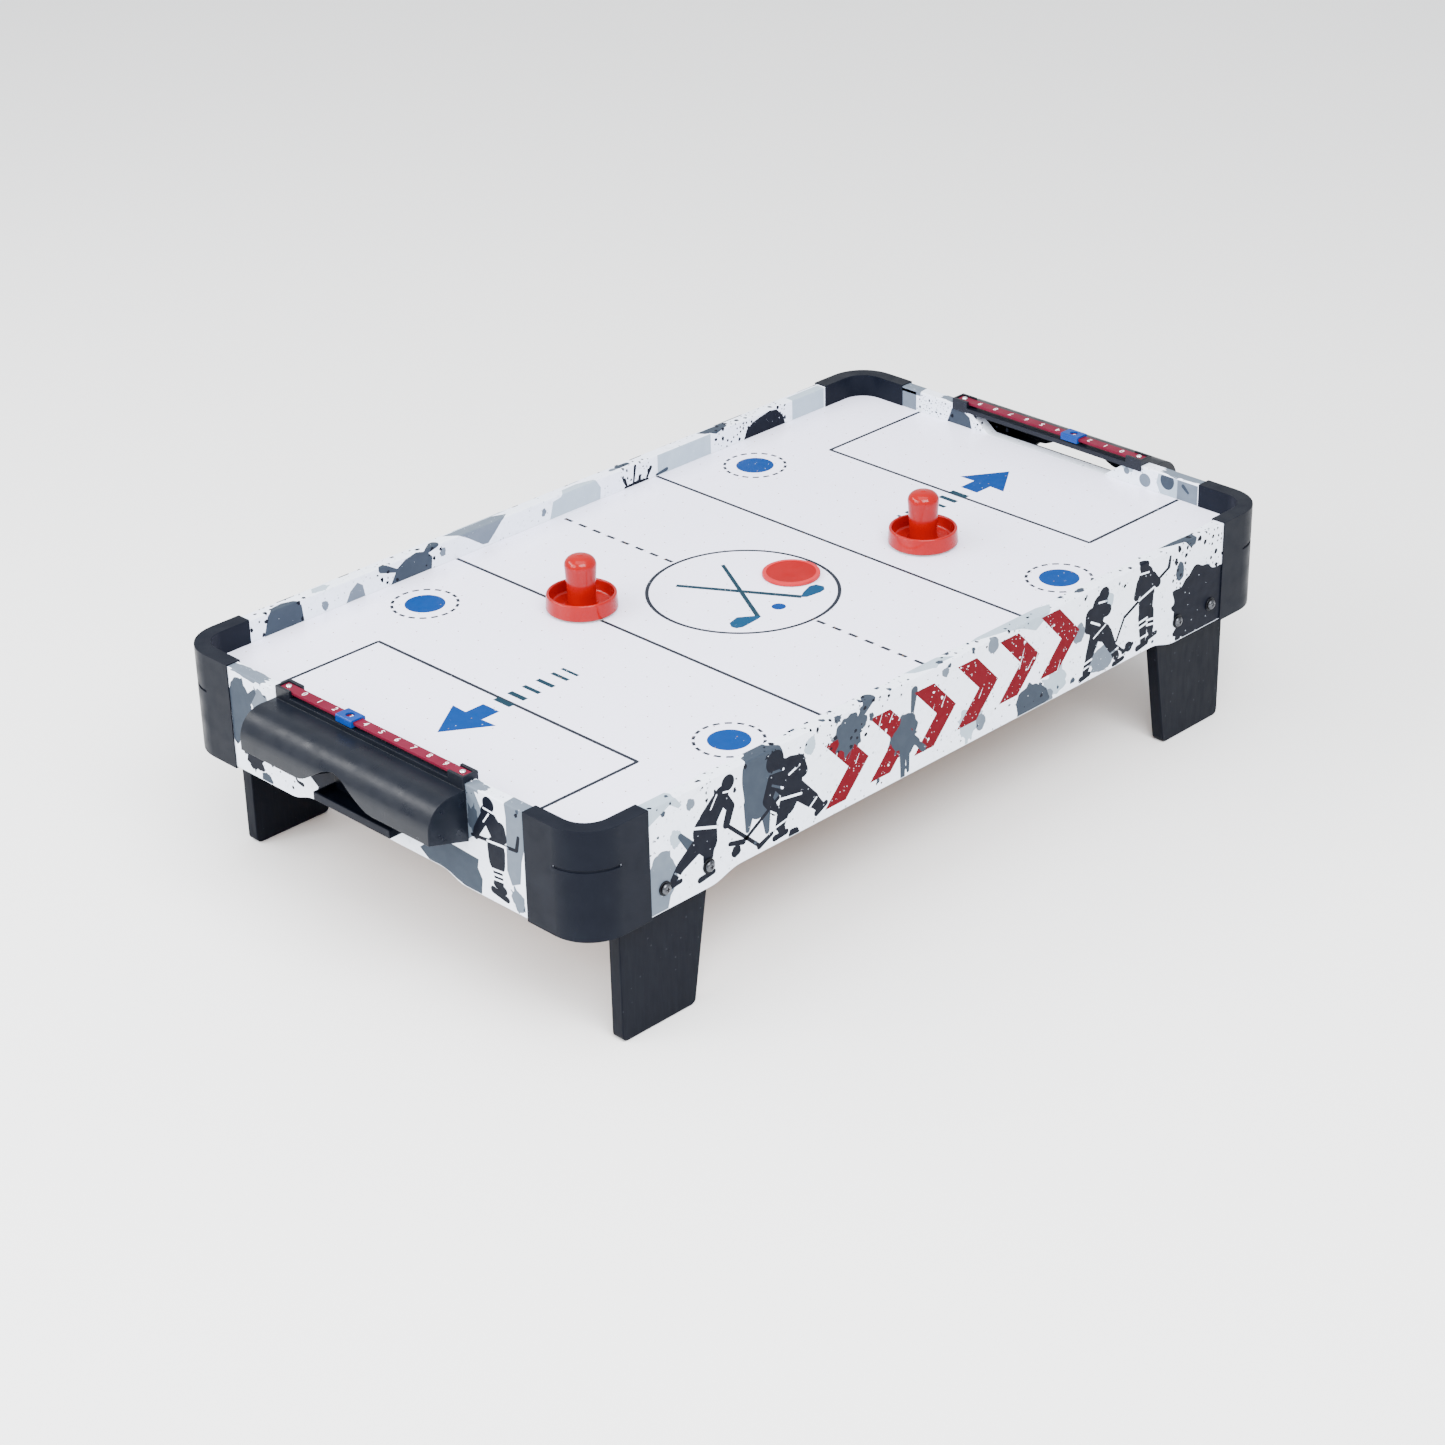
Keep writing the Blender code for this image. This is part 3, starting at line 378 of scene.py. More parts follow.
def turned(profile, sides, centre=(0, 0, 0), axis=(0, 0, 1), ring=False):
    """Solid of revolution; the profile is (radius, height) from axis to axis, or closed for a ring."""
    bm = bmesh.new()
    rings = []
    for radius, z in profile:
        if radius == 0:
            rings.append([bm.verts.new((0, 0, z))])
            continue
        angles = [math.tau * k / sides for k in range(sides)]
        rings.append([bm.verts.new((radius * math.cos(a), radius * math.sin(a), z)) for a in angles])
    for lower, upper in zip(rings, rings[1:] + rings[:1] * ring):
        for k in range(sides):
            n = (k + 1) % sides
            quad = [
                lower[k % len(lower)], lower[n % len(lower)], upper[n % len(upper)],
                upper[k % len(upper)],
            ]
            bm.faces.new(list(dict.fromkeys(quad)))
    turn = Vector((0, 0, 1)).rotation_difference(Vector(axis)).to_matrix().to_4x4()
    bm.transform(Matrix.Translation(centre) @ turn)
    return bm


def arc(centre, radius, start, end, steps):
    turns = [math.radians(start + (end - start) * k / steps) for k in range(steps + 1)]
    return [(centre[0] + radius * math.cos(t), centre[1] + radius * math.sin(t)) for t in turns]


def add_slab(bm, *loops):
    """Adds a closed slab of a flat outline with holes, 1 thick."""
    flat = [[Vector((u, v, 0)) for u, v in loop] for loop in loops]
    low = [bm.verts.new(p) for loop in flat for p in loop]
    high = [bm.verts.new(p + Vector((0, 0, 1))) for loop in flat for p in loop]
    for triangle in tessellate_polygon(flat):
        bm.faces.new([low[i] for i in triangle])
        bm.faces.new([high[i] for i in reversed(triangle)])
    first = 0
    for loop in flat:
        count = len(loop)
        for k in range(count):
            i, j = first + k, first + (k + 1) % count
            bm.faces.new((low[i], low[j], high[j], high[i]))
        first += count
    return bm


def slab(*loops):
    return add_slab(bmesh.new(), *loops)


def slabs(outlines):
    """One mesh of several outlines that do not touch."""
    bm = bmesh.new()
    for outline in outlines:
        add_slab(bm, outline)
    return bm


def scratch(bm):
    mesh = bpy.data.meshes.new("scratch")
    bmesh.ops.recalc_face_normals(bm, faces=bm.faces)
    bm.to_mesh(mesh)
    bm.free()
    thing = bpy.data.objects.new("scratch", mesh)
    bpy.context.scene.collection.objects.link(thing)
    return thing


def combined(first, second, operation):
    """Boolean of two closed meshes."""
    things = [scratch(first), scratch(second)]
    step = things[0].modifiers.new("step", "BOOLEAN")
    step.operation = operation
    step.solver = "MANIFOLD"
    step.object = things[1]
    result = bmesh.new()
    result.from_object(things[0], bpy.context.evaluated_depsgraph_get())
    for thing in things:
        mesh = thing.data
        bpy.data.objects.remove(thing)
        bpy.data.meshes.remove(mesh)
    return result


def union(shapes):
    whole = shapes[0]
    for shape in shapes[1:]:
        whole = combined(whole, shape, "UNION")
    return whole


# Outlines of the printed decoration, in millimetres
def disc(u, v, radius, sides=40, squash=1.0):
    return [(u + a, v + b * squash) for a, b in arc((0, 0), radius, 0, 360 - 360 / sides, sides - 1)]


def bar(start, end, start_radius, end_radius=None, sides=8):
    """Round-ended bar from one point to another, as an outline."""
    end_radius = end_radius or start_radius
    heading = math.degrees(math.atan2(end[1] - start[1], end[0] - start[0]))
    points = arc(end, end_radius, heading - 90, heading + 90, sides)
    return points + arc(start, start_radius, heading + 90, heading + 270, sides)


def blob(draw, u, v, radius, squash=1.0, rough=0.16, spikes=0, reach=0.5, sides=96):
    """Splash outline: uneven lobes with some spikes."""
    lobes = []
    for k in (2, 3, 5, 8, 13):
        lobes.append((k, draw.uniform(0, math.tau), rough * draw.uniform(0.4, 1.0) / math.sqrt(k)))
    thorns = []
    for _ in range(spikes):
        where = draw.uniform(0, math.tau)
        thorns.append((where, radius * reach * draw.uniform(0.4, 1), draw.uniform(0.05, 0.13)))
    points = []
    for k in range(sides):
        angle = math.tau * k / sides
        far = radius * (1 + sum(size * math.sin(n * angle + phase) for n, phase, size in lobes))
        for where, length, width in thorns:
            gap = (angle - where + math.pi) % math.tau - math.pi
            far += length * math.exp(-((gap / width) ** 2))
        points.append((u + far * math.cos(angle), v + far * math.sin(angle) * squash))
    return points


def scattered(draw, count, area, sizes, apart, taken=()):
    """Small splash outlines in a rectangle, none touching another."""
    placed = list(taken)
    outlines = []
    for _ in range(count * 12):
        if len(outlines) == count:
            break
        u = draw.uniform(area[0], area[1])
        v = draw.uniform(area[2], area[3])
        radius = sizes[0] + (sizes[1] - sizes[0]) * draw.random() ** 2
        if any(math.hypot(u - a, v - b) < 2.1 * (radius + c) + apart for a, b, c in placed):
            continue
        placed.append((u, v, radius))
        outlines.append(
            blob(draw, u, v, radius, draw.uniform(0.7, 1.3), 0.22, draw.choice((0, 1, 2)), 0.9, 28)
        )
    return outlines


def splash(draw, *measures):
    return slab(blob(draw, *measures))


def streak(*measures):
    return slab(bar(*measures))


# Printed faces
def field_place(u, v, height):
    return Vector((u * MM, v * MM, FIELD_Z + height))


def rail_profile(v):
    """Distance out from the outer face, height above the field, and the outward normal there.

    v is in metres: up the outer face, over the rounded top and down the inner face.
    """
    top = APRON_TOP - FIELD_Z
    straight = top - RAIL_EDGE
    bend = RAIL_EDGE * math.pi / 2
    flat = APRON_THICKNESS - 2 * RAIL_EDGE
    if v <= straight:
        return 0, v, 1, 0
    v -= straight
    if v <= bend:
        a = v / RAIL_EDGE
        return RAIL_EDGE * (math.cos(a) - 1), straight + RAIL_EDGE * math.sin(a), math.cos(a), math.sin(a)
    v -= bend
    if v <= flat:
        return -RAIL_EDGE - v, top, 0, 1
    v -= flat
    if v <= bend:
        a = v / RAIL_EDGE
        out = -APRON_THICKNESS + RAIL_EDGE * (1 - math.sin(a))
        return out, straight + RAIL_EDGE * math.cos(a), -math.sin(a), math.cos(a)
    return -APRON_THICKNESS, straight - (v - bend), -1, 0


def rail_bends():
    straight = APRON_TOP - FIELD_Z - RAIL_EDGE
    bend = RAIL_EDGE * math.pi / 2
    second = straight + bend + APRON_THICKNESS - 2 * RAIL_EDGE
    return [(start + bend * k / 4) / MM for start in (straight, second) for k in range(5)]


def apron_place(axis, sign):
    """Place on an apron; u runs to the right as seen from outside."""
    face = APRON_Y if axis == "Y" else APRON_X

    def place(u, v, height):
        out, up, normal_out, normal_up = rail_profile(v * MM)
        away = sign * (face + out + height * normal_out)
        z = FIELD_Z + up + height * normal_up
        if axis == "Y":
            return Vector((-sign * u * MM, away, z))
        return Vector((away, sign * u * MM, z))

    return place


def print_on(name, place, bm, surface, layer, bends=()):
    """Maps a flat shape onto its face as a thin film of ink."""
    for bend in bends:
        geometry = bm.verts[:] + bm.edges[:] + bm.faces[:]
        bmesh.ops.bisect_plane(bm, geom=geometry, plane_co=(0, bend, 0), plane_no=(0, 1, 0))
    top = FILM_HEIGHT + FILM_STEP * layer
    for vert in bm.verts:
        vert.co = place(vert.co.x, vert.co.y, top if vert.co.z > 0.5 else -FILM_SINK)
    return piece(name, bm, [surface], "table")


# Playing surface
HOLE_PITCH = (29.6, 31.1)
HOLE_SHIFT = -7.2  # in Y
HOLE_RADIUS = 0.8
HOLE_COLUMNS = range(-15, 16)
HOLE_ROWS = range(-8, 10)


def box_outline(u0, u1, v0, v1):
    return [(u0, v0), (u1, v0), (u1, v1), (u0, v1)]


def drilled(bm):
    """The flat shape with the field's air holes through it."""
    holes = bmesh.new()
    for i in HOLE_COLUMNS:
        for j in HOLE_ROWS:
            add_slab(holes, disc(i * HOLE_PITCH[0], HOLE_SHIFT + j * HOLE_PITCH[1], HOLE_RADIUS, 8))
    for vert in holes.verts:
        vert.co.z = vert.co.z * 3 - 1
    return combined(bm, holes, "DIFFERENCE")


def playing_surface():
    low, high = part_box("playfield")
    bm = drilled(slab(box_outline(low.x / MM, high.x / MM, low.y / MM, high.y / MM)))
    for vert in bm.verts:
        vert.co = Vector((vert.co.x * MM, vert.co.y * MM, high.z if vert.co.z > 0.5 else low.z))
    for face in bm.faces:
        face.normal_update()
        top = abs(face.normal.z) > 0.5 and face.calc_center_median().z > high.z - 1e-4
        face.material_index = 0 if top else 1
    piece("playing_board", bm, [FIELD_FOIL, FIBREBOARD], "table", ("playfield",))


def field_print(name, bm, surface, layer):
    print_on(name, field_place, drilled(bm), surface, layer)


LINE_HALF = 2.1  # half the width of a printed line
LINES_REACH = (491.0, 284.5)  # in X and Y
ZONE_LINE_X = 149.8
GOAL_BOX = (337, 191)
CIRCLE = (103.2, 99.1)
SPOTS = [(u, v) for u in (-246.7, 246.7) for v in (-223.9, 223.9)]
SPOT_RADIUS = 21.5
SPOT_RING = (36.4, 33.1)
DASH_STEP = 22.5
RING_DASH = (12, 20)  # degrees of ink and degrees from dash to dash


def field_lines():
    """Zone lines, the goal boxes and the centre circle."""
    end, side = LINES_REACH
    lines = []
    for x in (-ZONE_LINE_X, ZONE_LINE_X):
        lines.append(slab(box_outline(x - LINE_HALF, x + LINE_HALF, -side, side)))
    for way in (-1, 1):
        front = way * GOAL_BOX[0]
        reach = GOAL_BOX[1] + 1
        across = slab(box_outline(front - LINE_HALF, front + LINE_HALF, -reach, reach))
        for v in (-GOAL_BOX[1], GOAL_BOX[1]):
            ends = sorted((front, way * end))
            across = combined(across, slab(box_outline(*ends, v - LINE_HALF, v + LINE_HALF)), "UNION")
        lines.append(across)
    lines.append(slab(disc(0, 0, CIRCLE[0], 128), disc(0, 0, CIRCLE[1], 128)))
    field_print("print_field_lines", union(lines), INK_LINE, 0)


def field_dashes():
    """The broken centre line and the broken rings round the four spots."""
    dashes = []
    for k in range(8):
        for sign in (-1, 1):
            v = sign * (112 + DASH_STEP * k)
            dashes.append(box_outline(-LINE_HALF, LINE_HALF, v - 6, v + 6))
    inked, step = RING_DASH
    for spot in SPOTS:
        for start in range(0, 360, step):
            outer = arc(spot, SPOT_RING[0], start, start + inked, 4)
            dashes.append(outer + arc(spot, SPOT_RING[1], start + inked, start, 4))
    field_print("print_field_dashes", slabs(dashes), INK_LINE, 1)


def field_arrows():
    """An arrow towards each goal, its tail broken up into bars that get thinner."""
    heads = []
    tails = []
    for way, v in ((-1, -5), (1, -2)):
        head = [
            (427, v), (379, v + 32), (380, v + 12), (357, v + 12), (357, v - 12), (380, v - 12),
            (379, v - 32),
        ]
        heads.append([(way * a, b) for a, b in head])
        for start, finish in ((337, 344.5), (319, 326), (301, 306.5), (282, 288), (263, 268), (250, 254)):
            tails.append([(way * a, b) for a, b in box_outline(start, finish, v - 12, v + 12)])
    field_print("print_field_arrows", slabs(heads), INK_BLUE, 1)
    field_print("print_arrow_tails", slabs(tails), INK_TEAL, 2)


def field_emblem():
    """Two crossed sticks and a puck in the centre circle."""
    blades = [
        [(-34, -52), (-50, -40), (-65, -44), (-70, -52), (-69, -58), (-62, -61), (-38, -59), (-31, -57)],
        [(29, -55), (40, -49), (55, -43.5), (63, -46), (65, -55), (60, -61), (52, -62.5), (34, -60)],
    ]
    shafts = [
        [(29, 62), (33.2, 60.5), (-32.5, -58), (-37, -55)],
        [(-41.2, 59.4), (-36, 62.6), (33.6, -53.2), (28, -57.4)],
    ]
    for k, shaft in enumerate(shafts, 1):
        field_print(f"print_emblem_stick_{k}", slab(shaft), INK_TEAL, k)
    field_print("print_emblem_blades", slabs(blades), INK_OCEAN, 3)
    field_print("print_emblem_puck", slab(disc(-2.2, -54, 7.6, 32)), INK_BLUE, 1)


def field_markings():
    field_lines()
    field_dashes()
    field_print("print_field_dots", slabs([disc(u, v, SPOT_RADIUS, 64) for u, v in SPOTS]), INK_BLUE, 1)
    field_arrows()
    field_emblem()


# Printed aprons
STEP_HEIGHTS = (-87, -86, -84, -80.5, -79, -78.5)  # of the lower edge, from the deep end to the middle


def lower_edge(reach, steps):
    """An apron's lower edge: deep at both ends and stepped up between them."""
    left = [(-reach, STEP_HEIGHTS[0])] + [(-u, v) for u, v in zip(steps, STEP_HEIGHTS)]
    return left + [(-u, v) for u, v in reversed(left)]


LONG_LOWER = lower_edge(452, (350, 346, 338, 326, 316, 308))
END_LOWER = lower_edge(254, (130, 126, 118, 108, 100, 95))
RAIL_END = 63.4  # last printed height on the inner face, just above the field
INNER_START = 40.4  # first printed height of the end aprons' inner faces


def limb(u0, v0, u1, v1, *radii):
    return bar((u0, v0), (u1, v1), *radii)


def figure(head, parts, gaps):
    """Pictogram of a player: a round head and round-ended bars, with light gaps between the parts."""
    body = union([slab(disc(*head))] + [slab(limb(*part)) for part in parts])
    return combined(body, slabs([limb(*gap) for gap in gaps]), "DIFFERENCE")


def player_leaning():
    """Skater leaning to the right with the stick reaching forward."""
    head = (-325, 13, 8.5)
    parts = [
        (-334, 3, -352, -16, 10, 13), (-356, -24, -353, -40, 16, 13), (-351, -40, -354, -66, 8.5, 5.5),
        (-364, -36, -388, -50, 9.5, 6.5), (-388, -50, -398, -60, 6.5, 4.5),
        (-403, -66, -389, -65, 3, 2.6), (-364, -75, -346, -73, 3.4, 2.8), (-332, 0, -322, -14, 6.5, 5.4),
        (-322, -14, -328, -30, 5.4, 4.8), (-330, -29, -285, -71, 2.1), (-285, -72, -268, -65, 3.2, 2.4),
    ]
    gaps = [
        (-377, -15, -339, -28, 1.5), (-340, 6, -348, -6, 0.9), (-396, -54, -388, -61, 0.9),
        (-362, -60, -346, -59, 0.9), (-331, 5, -322, 3, 1.0),
    ]
    return figure(head, parts, gaps)


def player_guarding():
    """Bulky player facing left with a broad stance."""
    head = (-262, 10, 12)
    parts = [
        (-254, -6, -240, -24, 16, 15), (-243, -1, -229, -3, 9.5, 8), (-229, -3, -224, -15, 7.5, 6.5),
        (-240, -30, -246, -42, 15, 12), (-250, -44, -256, -60, 9.5, 7), (-256, -60, -254, -68, 5.5, 5),
        (-264, -72, -248, -71, 3.4, 3), (-232, -32, -211, -52, 10, 8), (-211, -52, -201, -63, 7, 5.6),
        (-206, -68, -193, -62, 3.6, 3), (-264, -8, -273, -27, 8.5, 6.5), (-273, -27, -263, -42, 6.5, 5.4),
        (-258, -30, -306, -58, 2.0), (-306, -58, -324, -53, 3.2, 2.4),
    ]
    gaps = [
        (-270, 0, -251, -2, 1.4), (-256, -33, -227, -38, 1.4), (-266, -14, -252, -22, 1.3),
        (-243, -11, -229, -6, 1.3), (-264, -61, -247, -58, 1.1), (-218, -60, -206, -51, 1.1),
        (-270, -40, -262, -46, 1.0),
    ]
    return figure(head, parts, gaps)


def player_chasing():
    """Skater bending forward over the stick."""
    head = (227, 12, 8.5)
    parts = [
        (221, 2, 215, -20, 12.5, 10.5), (206, -5, 233, -8, 8.5, 7), (216, -25, 229, -33, 11.5, 10),
        (213, -33, 206, -50, 9, 6.8), (206, -50, 200, -68, 6.2, 5), (192, -74, 206, -72, 3.2, 2.8),
        (233, -37, 243, -54, 9, 6.6), (243, -54, 251, -68, 6.2, 4.8), (247, -76, 262, -74, 3.2, 2.6),
        (204, -5, 202, -19, 6.5, 5.4), (202, -19, 218, -28, 5.4, 4.6), (210, -22, 262, -66, 1.9),
        (262, -67, 277, -63, 2.8, 2.4),
    ]
    gaps = [
        (219, 5, 232, 3, 1.1), (207, -13, 221, -21, 1.2), (212, -33, 231, -24, 1.0),
        (198, -58, 212, -56, 1.2), (239, -62, 253, -59, 1.2), (197, -64, 210, -62, 1.0),
    ]
    return figure(head, parts, gaps)


def player_waiting():
    """Upright player with the stick held across the body."""
    head = (293, 22, 8)
    parts = [
        (296, 8, 300, -12, 12.5, 12), (298, -20, 298, -33, 12.5, 11.5), (293, -36, 295, -58, 7.5, 6),
        (305, -36, 307, -56, 7, 5.6), (286, -72, 302, -70, 3.6, 3), (303, -66, 317, -64, 3.2, 2.6),
        (295, -58, 295, -68, 5, 4.4), (307, -56, 308, -62, 4.6, 4), (287, 4, 282, -10, 6.5, 5.2),
        (307, 4, 317, -6, 6.5, 5.2), (334, 5, 262, -27, 1.9), (335, 6, 337, 17, 2.6, 2),
        (262, -27, 250, -50, 1.6),
    ]
    gaps = [
        (286, 14, 301, 12, 1.1), (286, -16, 311, -9, 1.3), (284, -43, 301, -41, 1.3),
        (286, -49, 301, -47, 1.3), (300.5, -44, 314, -46, 1.3), (301, -50, 314, -52, 1.3),
        (288, -62, 302, -61, 1.1),
    ]
    return figure(head, parts, gaps)


def player_end():
    """Player on the end aprons, seen side on, with the stick held level."""
    head = (170, 15, 8)
    parts = [
        (168, 4, 181, -12, 9.5, 11.5), (186, -4, 188, -14, 6, 6), (163, -2, 152, -19, 5.8, 4.8),
        (152, -19, 150, -25, 4.8, 4.2), (145, -26, 206, -20, 2), (207, -19, 210, -5, 2.4, 2),
        (178, -29, 178, -43, 12.5, 11.5), (178, -50, 180, -64, 7, 6), (176, -67, 186, -71, 4.6, 4.4),
        (171, -75, 190, -79, 4, 3.4),
    ]
    gaps = [
        (166, -24.5, 194, -22, 1.3), (168, -53, 189, -51, 1.3), (169, -58, 190, -56, 1.3),
        (170, -63, 190, -61, 1.3), (170, 5, 162, -6, 0.9), (163, 9, 177, 8, 1.0),
    ]
    return figure(head, parts, gaps)


CHEVRONS = range(-163, 158, 64)


def chevron_height(u):
    """Height of the chevrons' middle line, which climbs to the right."""
    return -35 + 0.066 * (u + 162)


def worn_chevrons(draw):
    """Row of thick chevrons, scratched and speckled."""
    whole = bmesh.new()
    half, tall, thick = 31, 35, 29
    for u in CHEVRONS:
        middle = chevron_height(u)
        outline = [
            (u - half, middle + tall), (u - half + thick, middle + tall), (u + half, middle),
            (u - half + thick, middle - tall), (u - half, middle - tall), (u + half - thick, middle),
        ]
        add_slab(whole, outline)
    for k in range(26):
        u = -194 + 15 * k + draw.uniform(-3, 3)
        v = draw.uniform(-60, -4)
        slant = draw.uniform(0.6, 1.6)
        long = draw.uniform(8, 18)
        end = (u + long * 0.6, v + long * slant)
        cut = slab([(u, v), (u + 1.1, v - 0.3), (end[0] + 0.5, end[1]), end])
        whole = combined(whole, cut, "DIFFERENCE")
    for outline in scattered(draw, 150, (-195, 188, -74, 34), (0.5, 2.0), 0.7):
        whole = combined(whole, slab(outline), "DIFFERENCE")
    return whole


def clipped(bm, lower, top):
    return combined(bm, slab(lower + [(lower[-1][0], top), (lower[0][0], top)]), "INTERSECT")


def spray(draw, u, v, reach, count, sizes, upward=0.0):
    """Drops thrown out around a splash, as outlines."""
    drops = []
    placed = []
    for _ in range(count * 8):
        if len(drops) == count:
            break
        angle = draw.uniform(0, math.tau)
        far = reach * draw.uniform(0.75, 1.5)
        a, b = u + far * math.cos(angle), v + far * math.sin(angle) * 0.8 + upward
        radius = draw.uniform(*sizes)
        if any(math.hypot(a - c, b - d) < 1.9 * (radius + e) + 0.4 for c, d, e in placed):
            continue
        placed.append((a, b, radius))
        drops.append(blob(draw, a, b, radius, draw.uniform(0.7, 1.4), 0.2, draw.choice((0, 1)), 0.9, 24))
    return drops


def rear_rail_splashes(draw):
    """Splashes on the top and the inner face of the rear rail, by ink."""
    base = 66
    pale = [
        slab([(-62, base), (-64, 50), (-55, 36), (-34, 31), (-12, 32), (-4, 42), (8, 44), (14, base)]),
        slab([(-237, base), (-237, 39), (-152, 39), (-152, base)]),
        slab([(-426, base), (-426, 29), (-372, 29), (-372, base)]),
        splash(draw, 330, 32, 12, 0.5, 0.2, 2),
    ]
    grey = [
        slab([(72, 34), (88, 27), (158, 27), (146, 38), (132, 46), (112, 60), (104, 61), (94, 52),
            (84, 42)]), slab([(276, base), (279, 50), (286, 45), (296, 52), (304, base)]),
        splash(draw, 330, 56, 4.5, 1.2), splash(draw, 168, 50, 4, 1.3), splash(draw, 22, 52, 3.6, 1.2),
        splash(draw, -90, 32, 7, 0.4),
    ]
    slate = [
        slab([(358, base), (360, 45), (368, 35), (380, 31), (394, 33), (404, 42), (411, base)]),
        slab([(185, base), (183, 50), (190, 42), (204, 38), (220, 41), (232, 48), (243, base)]),
        streak((196, 44), (178, 36), 2.2, 6), streak((232, 50), (252, 41), 2, 5),
        slab([(-225, 26), (-270, 26), (-266, 37), (-246, 42), (-232, 36)]),
        streak((-112, 31), (-98, 31), 3.2, 4), streak((-150, 62), (-166, 60), 1.6, 2.4),
    ]
    black = [
        slab([(-290, base), (-296, 52), (-306, 46), (-318, 43), (-334, 40), (-346, 42), (-356, 52),
            (-361, base)]), slab([(-98, base), (-100, 61), (-118, 59.5), (-136, 61), (-141, base)]),
        streak((-103, 60), (-100, 53), 1.6, 2.6), streak((-114, 60), (-117, 41), 1.3, 2.0),
        streak((-123, 60), (-124, 55), 2.4, 2.0), streak((-135, 60), (-141, 50), 1.6, 2.4),
    ]
    specks = spray(draw, -326, 48, 24, 60, (0.6, 2.4), -3) + spray(draw, -268, 46, 16, 34, (0.7, 2.6))
    specks += spray(draw, -118, 46, 15, 26, (0.5, 1.8)) + spray(draw, 384, 50, 30, 26, (0.7, 2.6))
    specks += spray(draw, 214, 48, 30, 34, (0.6, 2.8))
    return {
        "pale_rail": (pale, INK_PALE, 0), "grey_rail": (grey, INK_GREY, 1),
        "slate_rail": (slate, INK_SLATE, 2), "dark_rail": (black, INK_BLACK, 3),
        "rail_specks": ([separate(specks)], INK_BLACK, 4),
    }


def separate(outlines):
    """One mesh of the outlines, without those that may touch an earlier one."""
    kept = []
    for outline in outlines:
        us, vs = zip(*outline)
        left, right, low, high = min(us), max(us), min(vs), max(vs)
        if all(left > k[1] or right < k[0] or low > k[3] or high < k[2] for k, _ in kept):
            kept.append(((left, right, low, high), outline))
    return slabs([outline for _, outline in kept])


